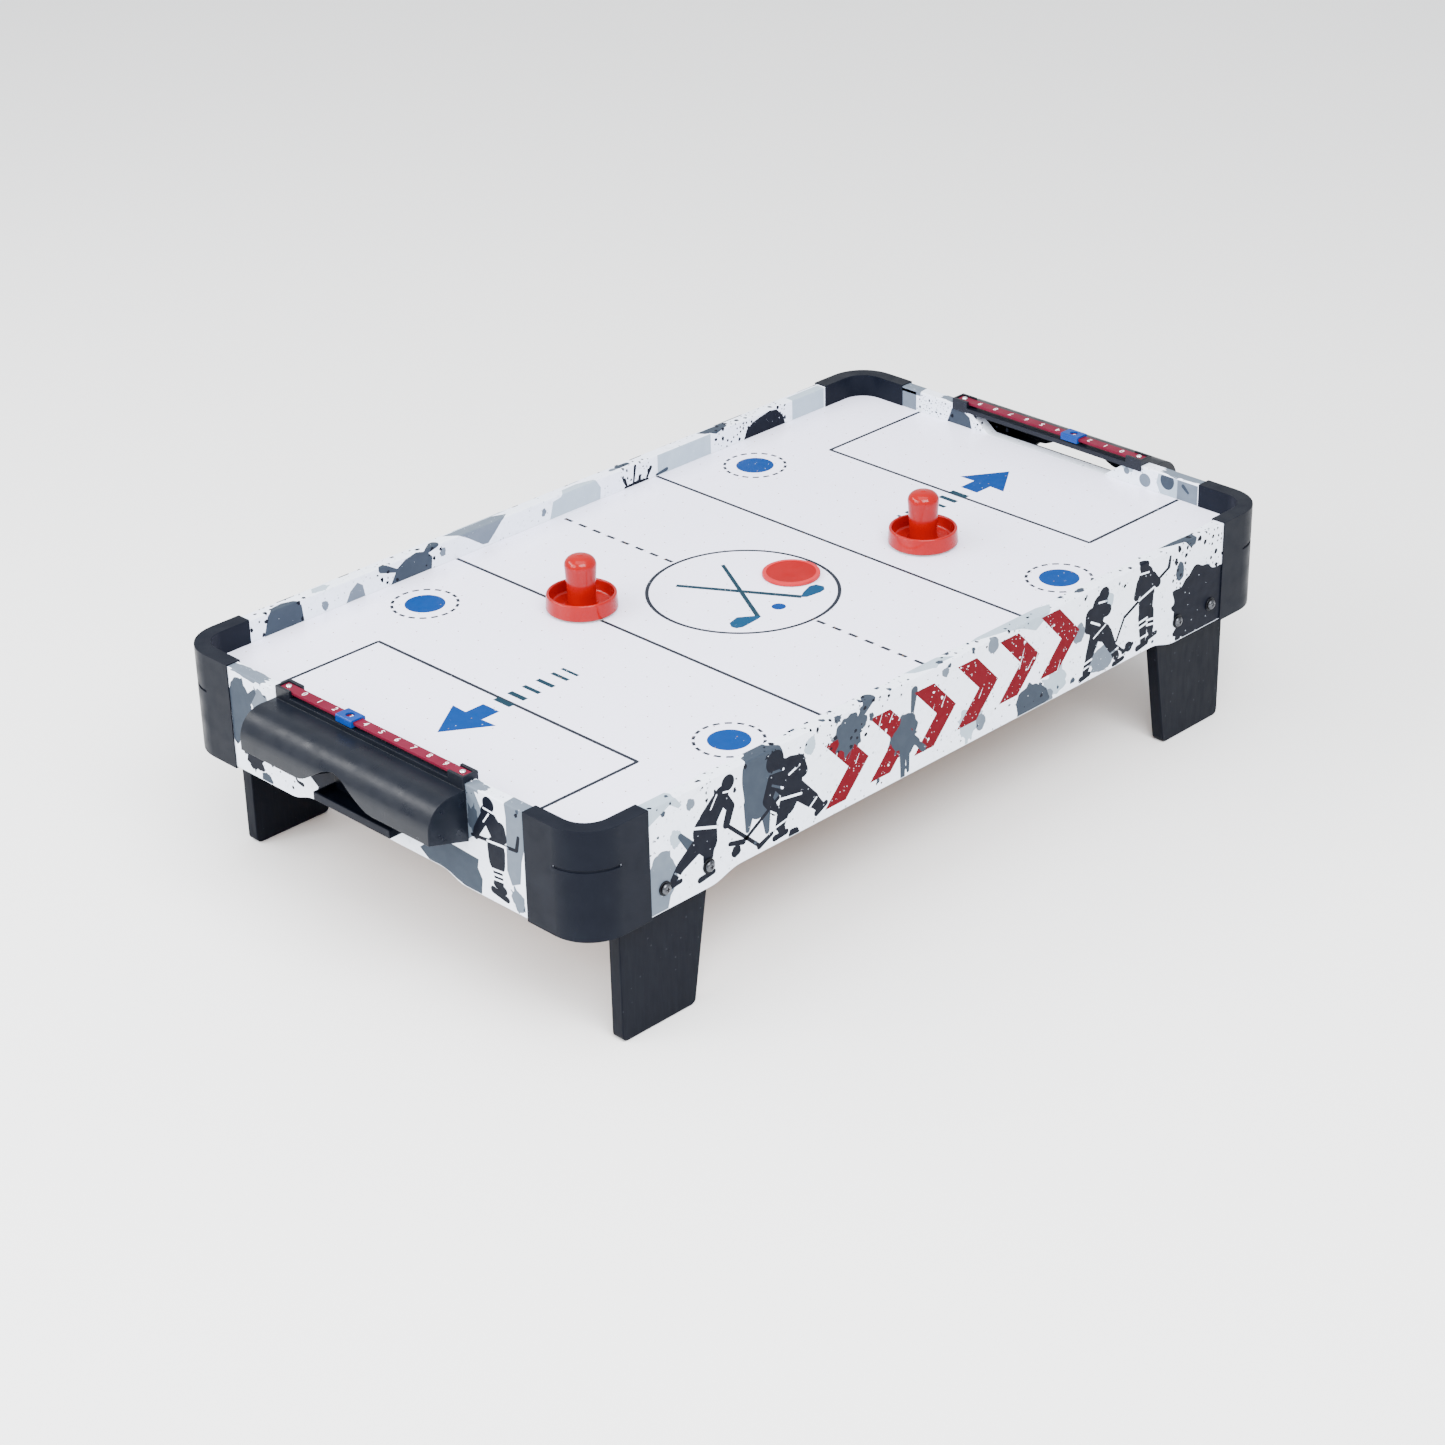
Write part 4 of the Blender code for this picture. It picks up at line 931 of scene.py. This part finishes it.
def long_apron_print(side):
    """Decoration of one long apron, from the lower edge over the rail to the inner face."""
    draw = random.Random(41)
    place = apron_place("Y", SIDES[side])
    bends = rail_bends()
    top = RAIL_END if side == "front" else 27

    def lay(name, shapes, surface, layer, lower=LONG_LOWER, upto=top):
        print_on(
            f"print_{side}_{name}", place, clipped(union(shapes), lower, upto), surface, layer, bends,
        )

    pale = [
        slab([(-436, 42), (-396, 42), (-391, 33), (-394, 26), (-385, 14), (-389, 12), (-400, 20),
            (-418, 12), (-436, 4)]),
        slab([(-70, 42), (-58, 31), (-34, 24), (-22, 28), (-4, 27), (-14, 36), (-30, 44)]),
        slab([(30, 36), (52, 30), (96, 20), (118, 10), (136, 20), (150, 34), (120, 42), (70, 44)]),
        splash(draw, 16, -56, 15, 1.1, 0.2, 5, 0.5), streak((14, -60), (12, -84), 3, 2),
        splash(draw, 150, -62, 18, 0.8, 0.18, 4, 0.5), splash(draw, -394, -18, 7, 1.4),
        splash(draw, 236, 2, 7, 1.3, 0.1), splash(draw, -214, 8, 8, 1.1, 0.12),
    ]
    lay("pale_splashes", pale, INK_PALE, 0)
    grey = [
        splash(draw, -412, -52, 19, 1.35, 0.1, 3, 0.3), streak((-412, -60), (-420, -92), 14, 12),
        splash(draw, 228, -62, 20, 0.7, 0.1, 3, 0.3), splash(draw, 188, -19, 9, 1.2, 0.12),
        splash(draw, -20, 14, 5, 1.1), splash(draw, -374, 10, 5, 1.3),
        splash(draw, 52, 18, 8, 1.2, 0.1, 1), splash(draw, 34, -62, 7, 1.4, 0.1),
        splash(draw, 125, -76, 22, 0.6, 0.16, 4, 0.3),
    ]
    lay("grey_splashes", grey, INK_GREY, 1)
    slate = [
        splash(draw, -279, 0, 27, 1.55, 0.07, 5, 0.18), streak((-296, -20), (-300, -48), 9, 3),
        streak((-276, -30), (-274, -60), 8, 3), streak((-388, -18), (-372, -38), 3, 6),
        splash(draw, -160, -2, 19, 1.15, 0.12, 6, 0.35), streak((-148, 8), (-128, 29), 3, 7.5),
        splash(draw, -140, 6, 6, 1.2, 0.12, 2, 0.5), splash(draw, -176, 22, 5, 0.8, 0.2, 3, 0.7),
        splash(draw, -81, -33, 21, 1.05, 0.12, 6, 0.35), streak((-82, -40), (-83, -84), 5, 3),
        streak((-76, -40), (-75, -74), 4, 2), streak((-70, -20), (-66, 11), 1.6, 5),
        splash(draw, 113, -70, 26, 0.75, 0.12, 4, 0.3), splash(draw, 355, -6, 7, 1.6, 0.06),
        slab([(330, 36), (352, 36), (384, 34), (380, 18), (372, 16), (362, 26), (346, 30)]),
        splash(draw, 196, 32, 6, 0.7, 0.2, 2), splash(draw, -24, 29, 4.5, 0.7, 0.2, 2),
    ]
    lay("slate_splashes", slate, INK_SLATE, 2)
    lay("chevrons", [worn_chevrons(draw)], INK_RED, 3)
    over = [
        splash(draw, -160, -2, 15, 1.15, 0.14, 6, 0.45), splash(draw, -84, -33, 14, 1.15, 0.14, 6, 0.6),
        streak((-84, -38), (-84, -74), 4, 2), streak((-70, -40), (-52, -58), 2, 4),
    ]
    lay("slate_over", over, INK_SLATE, 4)
    lay("player_leaning", [player_leaning()], INK_BLACK, 5)
    lay("player_guarding", [player_guarding()], INK_BLACK, 5)
    lay("player_chasing", [player_chasing()], INK_BLACK, 5)
    lay("player_waiting", [player_waiting()], INK_BLACK, 5)
    dark = [
        splash(draw, 392, -54, 44, 1.0, 0.11, 12, 0.25), splash(draw, 440, -60, 42, 1.0, 0.12, 4, 0.2),
        streak((364, -60), (356, -84), 9, 5), splash(draw, -316, -64, 6.5, 0.9, 0.1),
        splash(draw, 271, -64, 6.5, 0.9, 0.1), splash(draw, -238, -77, 7, 0.9, 0.1, 2),
    ]
    lay("dark_splash", dark, INK_BLACK, 6)
    taken = [
        (-355, -30, 26), (-282, 0, 24), (-235, -30, 26), (225, -30, 22), (300, -25, 20), (-412, -56, 14),
        (395, -54, 26), (438, -55, 22),
    ]
    taken += [(u, chevron_height(u), 17) for u in CHEVRONS]
    near = spray(draw, 386, -10, 30, 60, (0.6, 3.2), 8) + spray(draw, -160, 6, 26, 30, (0.6, 2.4), 8)
    near += spray(draw, -240, 14, 26, 26, (0.6, 2.6), 10) + spray(draw, -330, 12, 20, 16, (0.6, 2.4), 8)
    near += scattered(draw, 70, (-440, 345, -74, 55), (0.5, 2.6), 1.0, taken)
    lay("dark_specks", [separate(near)], INK_BLACK, 7)
    specks = scattered(draw, 90, (-440, 345, -74, 55), (0.7, 4.6), 1.0, taken)
    lay("slate_specks", [slabs(specks)], INK_SLATE, 8)
    if side == "rear":
        band = [(LONG_LOWER[0][0], 27.2), (LONG_LOWER[-1][0], 27.2)]
        for name, (shapes, surface, layer) in rear_rail_splashes(draw).items():
            lay(name, shapes, surface, layer, band, RAIL_END)


def end_apron_print(end):
    """Decoration of one end apron on each side of the goal, and black ink painted as shade beside the goal
    mouth.
    """
    draw = random.Random(17)
    place = apron_place("X", ENDS[end])
    bends = rail_bends()
    lower_left = [p for p in END_LOWER if p[0] < 0][:-1] + [(-93, -78.8)]
    lower_right = [(60, -78.8), (95, -78.5)] + [p for p in END_LOWER if p[0] > 95]
    inner_left = [(-254, INNER_START), (-93, INNER_START)]
    inner_right = [(93, INNER_START), (254, INNER_START)]

    def lay(name, shapes, surface, layer, lower, top=RAIL_END):
        print_on(f"print_{end}_{name}", place, clipped(union(shapes), lower, top), surface, layer, bends)

    def specks(*measures):
        return slabs(scattered(draw, *measures))

    ground = [
        slab([(190, 44), (224, 44), (222, 0), (213, -30), (210, -54), (198, -60), (192, -46), (194, 10)]),
        slab([(137, 30), (150, 24), (160, 6), (157, -12), (150, -24), (138, -34)]),
        splash(draw, 206, -74, 9, 1.2, 0.16, 3), splash(draw, 150, 30, 14, 0.5, 0.2, 3),
    ]
    lay("ground_a", ground, INK_GREY, 0, lower_right)
    block = slab([
        (66, -70), (78, -60), (84, -52), (112, -48), (152, -50), (150, -60), (156, -70), (153, -92),
        (120, -92), (90, -86),
    ])
    lay("block_a", [block, splash(draw, 147, -8, 7, 1.9, 0.2, 4, 0.5)], INK_SLATE, 1, lower_right, 20)
    lay("player", [player_end()], INK_BLACK, 2, lower_right)
    taken = ((178, -20, 20), (178, -50, 18), (110, -70, 26))
    lay(
        "slate_a", [specks(22, (100, 246, -84, 24), (0.8, 3.6), 1.0, taken)], INK_SLATE, 3, lower_right,
        25,
    )
    lay("dark_a", [specks(40, (66, 246, -84, 24), (0.5, 2.2), 0.8, taken)], INK_BLACK, 4, lower_right, 25)
    slate = [
        splash(draw, -203, -8, 18, 1.35, 0.14, 6, 0.3), streak((-207, -20), (-214, -54), 12, 5),
        streak((-196, -10), (-178, 10), 7, 3), splash(draw, -169, -86, 8, 1.2, 0.12),
    ]
    lay("slate_b", slate, INK_SLATE, 1, lower_left)
    grey = [splash(draw, -192, 30, 30, 0.3, 0.2, 5), splash(draw, -170, -2, 14, 1.2, 0.2, 6)]
    lay("grey_b", grey, INK_GREY, 0, lower_left, 40)
    # Painted shade: this black ink beside the goal mouth, under the goal housing, stands for shadow there,
    # not for print.
    painted_shade_patches = [
        [(-100, 6), (-101, -52), (-86, -62), (-93, -80), (-58.5, -80), (-58.5, 6)],
        [(58.5, 6), (58.5, -56), (80, -56), (100, -50), (101, 6)],
    ]
    lay("painted_shade_behind_return", [slabs(painted_shade_patches)], INK_BLACK, 5, END_LOWER, 0)
    comma = [streak((-124, -60), (-119, -68), 0.9, 1.6), streak((-119, -68), (-111, -69), 1.6, 2.4)]
    drops = [
        splash(draw, -187, -71, 11, 0.9, 0.2, 7, 0.7), splash(draw, -176, -74, 4, 1.0, 0.2, 3, 0.8),
        splash(draw, -200, -64, 3.4, 1.0, 0.2, 3, 0.8),
    ]
    lay("dark_b", drops + comma, INK_BLACK, 2, lower_left)
    taken = ((-203, -10, 18), (-187, -71, 10))
    lay(
        "specks_b", [specks(60, (-246, -96, -78, 24), (0.5, 2.4), 0.8, taken)], INK_BLACK, 3, lower_left,
        25,
    )

    if end == "left":
        patch, side = slab(box_outline(163, 189, 38, 68)), inner_right
    else:
        patch, side = slab([(-189, 68), (-189, 38), (-163, 38), (-160, 52), (-168, 68)]), inner_left
    lay("inner_pale", [patch, splash(draw, -120, 46, 8, 0.6)], INK_PALE, 0, side)
    grey = [
        slab(box_outline(-217, -189, 38, 68)), slab(disc(-144, 54, 8, 28)), slab(disc(-118, 50, 4, 20)),
    ]
    lay("inner_grey", grey, INK_GREY, 1, inner_left)
    spot = [slab(disc(-175, 46, 9.5, 32, 1.1)), streak((-204, 52), (-197, 46), 1.6, 2.4)]
    lay("inner_disc", spot, INK_SLATE, 2, inner_left)
    lay("inner_band", [slab(box_outline(197, 222, 38, 68))], INK_GREY, 0, inner_right)
    pool = slab([(109, 68), (114, 50), (124, 45), (141, 45), (150, 68)])
    lay("inner_slate", [pool], INK_SLATE, 1, inner_right)
    flecks = scattered(draw, 46, (139, 192, 42, 62), (0.5, 2.4), 0.5)
    flecks += scattered(draw, 14, (94, 108, 44, 62), (0.6, 2.2), 0.5)
    lay("inner_specks", [separate(flecks)], INK_BLACK, 3, inner_right)


# Boards, mouldings and metal parts
def finished_boards():
    for side in SIDES:
        refined(f"apron_{side}", RAIL_EDGE, BOARD_FOIL, 4, 0.004, FIBREBOARD)
        refined(f"field_cleat_{side}", 0.0006, pine_wood)
    for end in ENDS:
        refined(f"apron_{end}", RAIL_EDGE, BOARD_FOIL, 4, 0.004, FIBREBOARD)
        refined(f"rib_{end}", 0.0006, pine_wood)
        for side in SIDES:
            refined(f"leg_{side}_{end}", 0.0012, leg_surface, 3, 0.002)
    refined("bottom_panel", 0.0004, hardboard_surface, 2)


def finished_mouldings():
    for end in ENDS:
        refined(f"goal_housing_{end}", 0.0004, HOOD_BLACK, 3, 0.0015)
        refined(f"puck_tray_{end}", 0.0007, BLACK)
        refined(f"score_strip_{end}", 0.0005, MAROON)
        refined(f"score_slider_{end}", 0.0004, BLUE)
        for side in SIDES:
            refined(f"corner_cap_{side}_{end}", 0.0003, BLACK)
    refined("blower_housing", 0.0004, BLACK, 2)
    refined("blower_impeller", 0.0002, GREY, 2)
    refined("power_switch", 0.0003, SWITCH_RED, 2)
    refined("power_jack", 0.0002, BLACK, 2)


pine_wood = pine()
hardboard_surface = hardboard()
leg_surface = leg_foil()
felt_surface = felt()

playing_surface()
field_markings()
finished_boards()
finished_mouldings()
for side_name in SIDES:
    long_apron_print(side_name)
for end_name in ENDS:
    end_apron_print(end_name)


# Turned and small parts
def cross_recess(bm, centre, axis, reach, depth, top):
    """Cuts a cross recess into a screw head; top is the head's height along the axis."""
    thin = reach * 0.22
    quarter = [(-reach, -thin), (-thin, -thin), (-thin, -reach)]
    arms = list(quarter)
    for _ in range(3):
        quarter = [(-y, x) for x, y in quarter]
        arms += quarter
    tool = slab(arms)
    for vert in tool.verts:
        vert.co.z = top + 0.001 if vert.co.z > 0.5 else top - depth
        if vert.co.z < top:
            vert.co.x *= 0.6
            vert.co.y *= 0.6
    turn = Vector((0, 0, 1)).rotation_difference(Vector(axis)).to_matrix().to_4x4()
    tool.transform(Matrix.Translation(centre) @ turn)
    return combined(bm, tool, "DIFFERENCE")


BOLT_CORE = 0.0024
BOLT_THREAD = 0.0029
THREAD_PITCH = 0.001
THREAD_LENGTH = 0.012
BOLT_HEAD_HEIGHT = 0.0032


def bolt_profile(tip, head):
    """Cross-head bolt from its chamfered tip, up the thread, to its domed head."""
    seat = head - BOLT_HEAD_HEIGHT
    profile = [(0, tip), (0.0022, tip), (0.0028, tip + 0.0008)]
    z = tip + 0.0008
    while z < tip + THREAD_LENGTH:
        profile += [(BOLT_CORE, z + THREAD_PITCH / 2), (BOLT_THREAD, z + THREAD_PITCH)]
        z += THREAD_PITCH
    dome = ((0.0052, 0), (0.0055, 0.0004), (0.0054, 0.0012), (0.0048, 0.0022), (0.0036, 0.0029))
    profile += [(BOLT_THREAD, seat)] + [(radius, seat + rise) for radius, rise in dome]
    return profile + [(0.0018, head - 0.00005), (0, head)]


def washer_profile(near, far):
    return [
        (0.0033, near), (0.0073, near), (0.0075, near + 0.0003), (0.0075, far - 0.0004), (0.0071, far),
        (0.0037, far), (0.0033, far - 0.0003),
    ]


def leg_bolts():
    for side, sign in SIDES.items():
        axis = (0, sign, 0)
        for end in ENDS:
            for k in (1, 2):
                node = f"leg_bolt_{side}_{end}_{k}"
                low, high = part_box(node)
                centre = ((low.x + high.x) / 2, sign * APRON_Y, (low.z + high.z) / 2)
                tip = -(APRON_Y - min(abs(low.y), abs(high.y)))
                head = max(abs(low.y), abs(high.y)) - APRON_Y
                bm = turned(bolt_profile(tip, head), 40, centre, axis)
                bm = cross_recess(bm, centre, axis, 0.003, 0.0016, head)
                piece(f"{node}_finished", bm, [DARK_CHROME], "table", (node,), 40)
                washer = f"leg_washer_{side}_{end}_{k}"
                low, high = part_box(washer)
                near, far = sorted((abs(low.y) - APRON_Y, abs(high.y) - APRON_Y))
                bm = turned(washer_profile(near, far), 48, centre, axis, ring=True)
                piece(f"{washer}_finished", bm, [BLACK_STEEL], "table", (washer,), 40)
            refined(f"nut_plate_{side}_{end}", 0.0003, ZINC, 2)


def strip_screws():
    for end in ENDS:
        for side in SIDES:
            node = f"strip_screw_{end}_{side}"
            low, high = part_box(node)
            centre = ((low.x + high.x) / 2, (low.y + high.y) / 2, 0)
            seat = high.z - 0.0022
            profile = [
                (0, low.z), (0.0007, low.z + 0.0006), (0.0014, low.z + 0.0018), (0.0014, seat),
                (0.003, seat), (0.0032, seat + 0.0003), (0.0031, seat + 0.001), (0.0025, seat + 0.0017),
                (0.0014, seat + 0.0021), (0, high.z),
            ]
            bm = cross_recess(turned(profile, 32, centre), centre, (0, 0, 1), 0.0019, 0.001, high.z)
            piece(f"{node}_finished", bm, [CHROME], "table", (node,), 40)


def mallets():
    for end in ENDS:
        node = f"mallet_{end}"
        low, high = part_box(node)
        centre = ((low.x + high.x) / 2, (low.y + high.y) / 2, 0)
        outer = (high.x - low.x) / 2
        base = low.z
        wall = FIELD_Z + 0.02
        inner = outer - 0.0035
        floor = base + 0.004
        knob = 0.017
        profile = [(0, base), (outer - 0.0022, base)]
        profile += arc((outer - 0.0022, base + 0.0022), 0.0022, -75, 0, 5)
        profile += [(outer - 0.0009, wall - 0.003)]
        profile += arc((outer - 0.0026, wall - 0.0017), 0.0017, 10, 170, 8)
        profile += [(inner - 0.001, wall - 0.0034), (inner - 0.0018, floor + 0.004)]
        profile += arc((inner - 0.005, floor + 0.0032), 0.0032, 0, -90, 5)
        profile += [(knob + 0.0012, floor)] + arc((knob + 0.0012, floor + 0.003), 0.003, -100, -180, 5)
        profile += [(knob - 0.0022, floor + 0.01)]
        top = high.z
        profile += [(knob - 0.0004, top - 0.016)]
        turns = [math.radians(84 * k / 12) for k in range(13)]
        for a in turns:
            profile.append((knob * math.cos(a) ** 0.72, top - 0.0115 + 0.011 * math.sin(a) ** 0.95))
        profile += [(0.003, top - 0.0002), (0, top)]
        piece(f"{node}_finished", turned(profile, 96, centre), [RED], node, (node,), 60)

        pad = f"mallet_felt_{end}"
        low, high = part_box(pad)
        r = (high.x - low.x) / 2
        profile = [
            (0, low.z), (r - 0.0006, low.z), (r, low.z + 0.0005), (r, high.z - 0.0003),
            (r - 0.0004, high.z), (0, high.z),
        ]
        piece(f"{pad}_finished", turned(profile, 96, centre), [felt_surface], node, (pad,), 60)


def puck():
    low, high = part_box("puck")
    centre = ((low.x + high.x) / 2, (low.y + high.y) / 2, 0)
    r = (high.x - low.x) / 2
    profile = [(0, low.z), (r - 0.0012, low.z)] + arc((r - 0.001, low.z + 0.001), 0.001, -70, 0, 4)
    profile += arc((r - 0.001, high.z - 0.001), 0.001, 0, 90, 4)
    profile += [
        (r - 0.0038, high.z), (r - 0.0044, high.z - 0.0002), (r - 0.005, high.z - 0.0006),
        (0, high.z - 0.0006),
    ]
    bm = turned(profile, 96, centre)
    # The rim and sides take a lighter copy of the puck's red: a painted highlight.
    for face in bm.faces:
        middle = face.calc_center_median()
        out = math.hypot(middle.x - centre[0], middle.y - centre[1])
        if out > r - 0.0046 and middle.z > low.z + 0.0005:
            face.material_index = 1
    piece("puck_finished", bm, [PUCK_RED, PUCK_RIM_PAINTED_HIGHLIGHT], "puck", ("puck",), 50)


def motor():
    low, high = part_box("blower_motor")
    z = low.z
    profile = [(0, z), (0.0128, z)] + arc((0.0128, z + 0.0012), 0.0012, -90, 0, 4)
    for k in range(5):
        level = z + 0.0036 + 0.002 * k
        profile += [
            (0.014, level), (0.0136, level + 0.0003), (0.0136, level + 0.0007), (0.014, level + 0.001),
        ]
    profile += [
        (0.014, z + 0.0148), (0.013, z + 0.016), (0.003, z + 0.016), (0.0028, z + 0.017),
        (0.0011, z + 0.017), (0.0011, high.z - 0.0003), (0.0008, high.z), (0, high.z),
    ]
    piece(
        "blower_motor_finished", turned(profile, 64), [ZINC], "table", ("blower_motor",),
        40,
    )


DIGIT_SIZE = 0.0095
DIGIT_PITCH = 0.0232
DIGIT_RISE = 0.00006


def score_digits():
    for end, way in ENDS.items():
        low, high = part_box(f"score_strip_{end}")
        x = (low.x + high.x) / 2
        z = high.z
        whole = bmesh.new()
        for number in range(10):
            curve = bpy.data.curves.new("digit", "FONT")
            curve.body = str(number)
            curve.size = DIGIT_SIZE
            curve.align_x = "CENTER"
            curve.align_y = "CENTER"
            curve.extrude = DIGIT_RISE
            thing = bpy.data.objects.new("digit", curve)
            bpy.context.scene.collection.objects.link(thing)
            y = way * (number - 4.5) * DIGIT_PITCH
            thing.matrix_world = Matrix.Translation((x, y, z)) @ Matrix.Rotation(
                way * math.pi / 2, 4, "Z",
            )
            bpy.context.view_layer.update()
            mesh = bpy.data.meshes.new_from_object(
                thing.evaluated_get(bpy.context.evaluated_depsgraph_get())
            )
            mesh.transform(thing.matrix_world)
            whole.from_mesh(mesh)
            bpy.data.objects.remove(thing)
            bpy.data.meshes.remove(mesh)
        bmesh.ops.remove_doubles(whole, verts=whole.verts, dist=1e-6)
        piece(f"score_digits_{end}", whole, [INK_WHITE], "table")


# Lighter copy of the puck's red for its rim and sides, a painted highlight.
PUCK_RIM_PAINTED_HIGHLIGHT = moulded("puck_rim_painted_highlight", (0.37, 0.014, 0.02), (0.42, 0.034, 0.042), 0.36, grain=700)

leg_bolts()
strip_screws()
mallets()
puck()
motor()
score_digits()


# Floor, light and camera
FLOOR_REACH = 12
FLOOR_Z = -0.0005


def floor():
    made = Surface("studio_floor", (0.9, 0.9, 0.9), 0.7)
    made.cloud(made.noise(3, 3), 0.3, 0.7, 0.5, (0.88, 0.885, 0.89))
    bm = bmesh.new()
    corners = box_outline(-FLOOR_REACH, FLOOR_REACH, -FLOOR_REACH, FLOOR_REACH)
    bm.faces.new([bm.verts.new((x, y, FLOOR_Z)) for x, y in corners])
    mesh = bpy.data.meshes.new("studio_floor")
    bm.to_mesh(mesh)
    bm.free()
    mesh.materials.append(made.material)
    thing = bpy.data.objects.new("studio_floor", mesh)
    bpy.context.scene.collection.objects.link(thing)


def area_light(name, place, size, power, aim=(0, 0, 0.2)):
    light = bpy.data.lights.new(name, "AREA")
    light.shape = "RECTANGLE"
    light.size, light.size_y = size
    light.energy = power
    thing = bpy.data.objects.new(name, light)
    thing.location = place
    thing.rotation_euler = (Vector(aim) - Vector(place)).to_track_quat("-Z", "Y").to_euler()
    bpy.context.scene.collection.objects.link(thing)


def studio():
    world = bpy.data.worlds.new("studio")
    world.use_nodes = True
    background = world.node_tree.nodes["Background"]
    background.inputs["Color"].default_value = (0.97, 0.985, 1.0, 1.0)
    background.inputs["Strength"].default_value = 1.35
    bpy.context.scene.world = world
    area_light("key", (-1.2, -2.4, 3.0), (2.8, 2.0), 330)
    area_light("fill", (-3.0, 0.6, 1.8), (2.2, 1.8), 120)
    area_light("side", (-1.95, 1.9, 2.1), (2.6, 0.7), 85, (-0.53, 0, 0.22))
    area_light("overhead", (-0.4, -0.3, 3.6), (3.0, 2.4), 90)


CAMERA_PLACE = (-2.18855, -2.19041, 1.68633)
CAMERA_AIM = (0.62097, 0.63159, -0.4642)
CAMERA_ROLL = -1.356  # degrees
CAMERA_ANGLE = 24.962  # degrees across the picture


def camera():
    lens = bpy.data.cameras.new("camera")
    lens.sensor_fit = "HORIZONTAL"
    lens.angle = math.radians(CAMERA_ANGLE)
    lens.clip_start = 0.05
    lens.clip_end = 60
    thing = bpy.data.objects.new("camera", lens)
    thing.location = CAMERA_PLACE
    roll = Quaternion((0, 0, 1), math.radians(CAMERA_ROLL))
    thing.rotation_mode = "QUATERNION"
    thing.rotation_quaternion = Vector(CAMERA_AIM).to_track_quat("-Z", "Y") @ roll
    bpy.context.scene.collection.objects.link(thing)
    bpy.context.scene.camera = thing


floor()
studio()
camera()
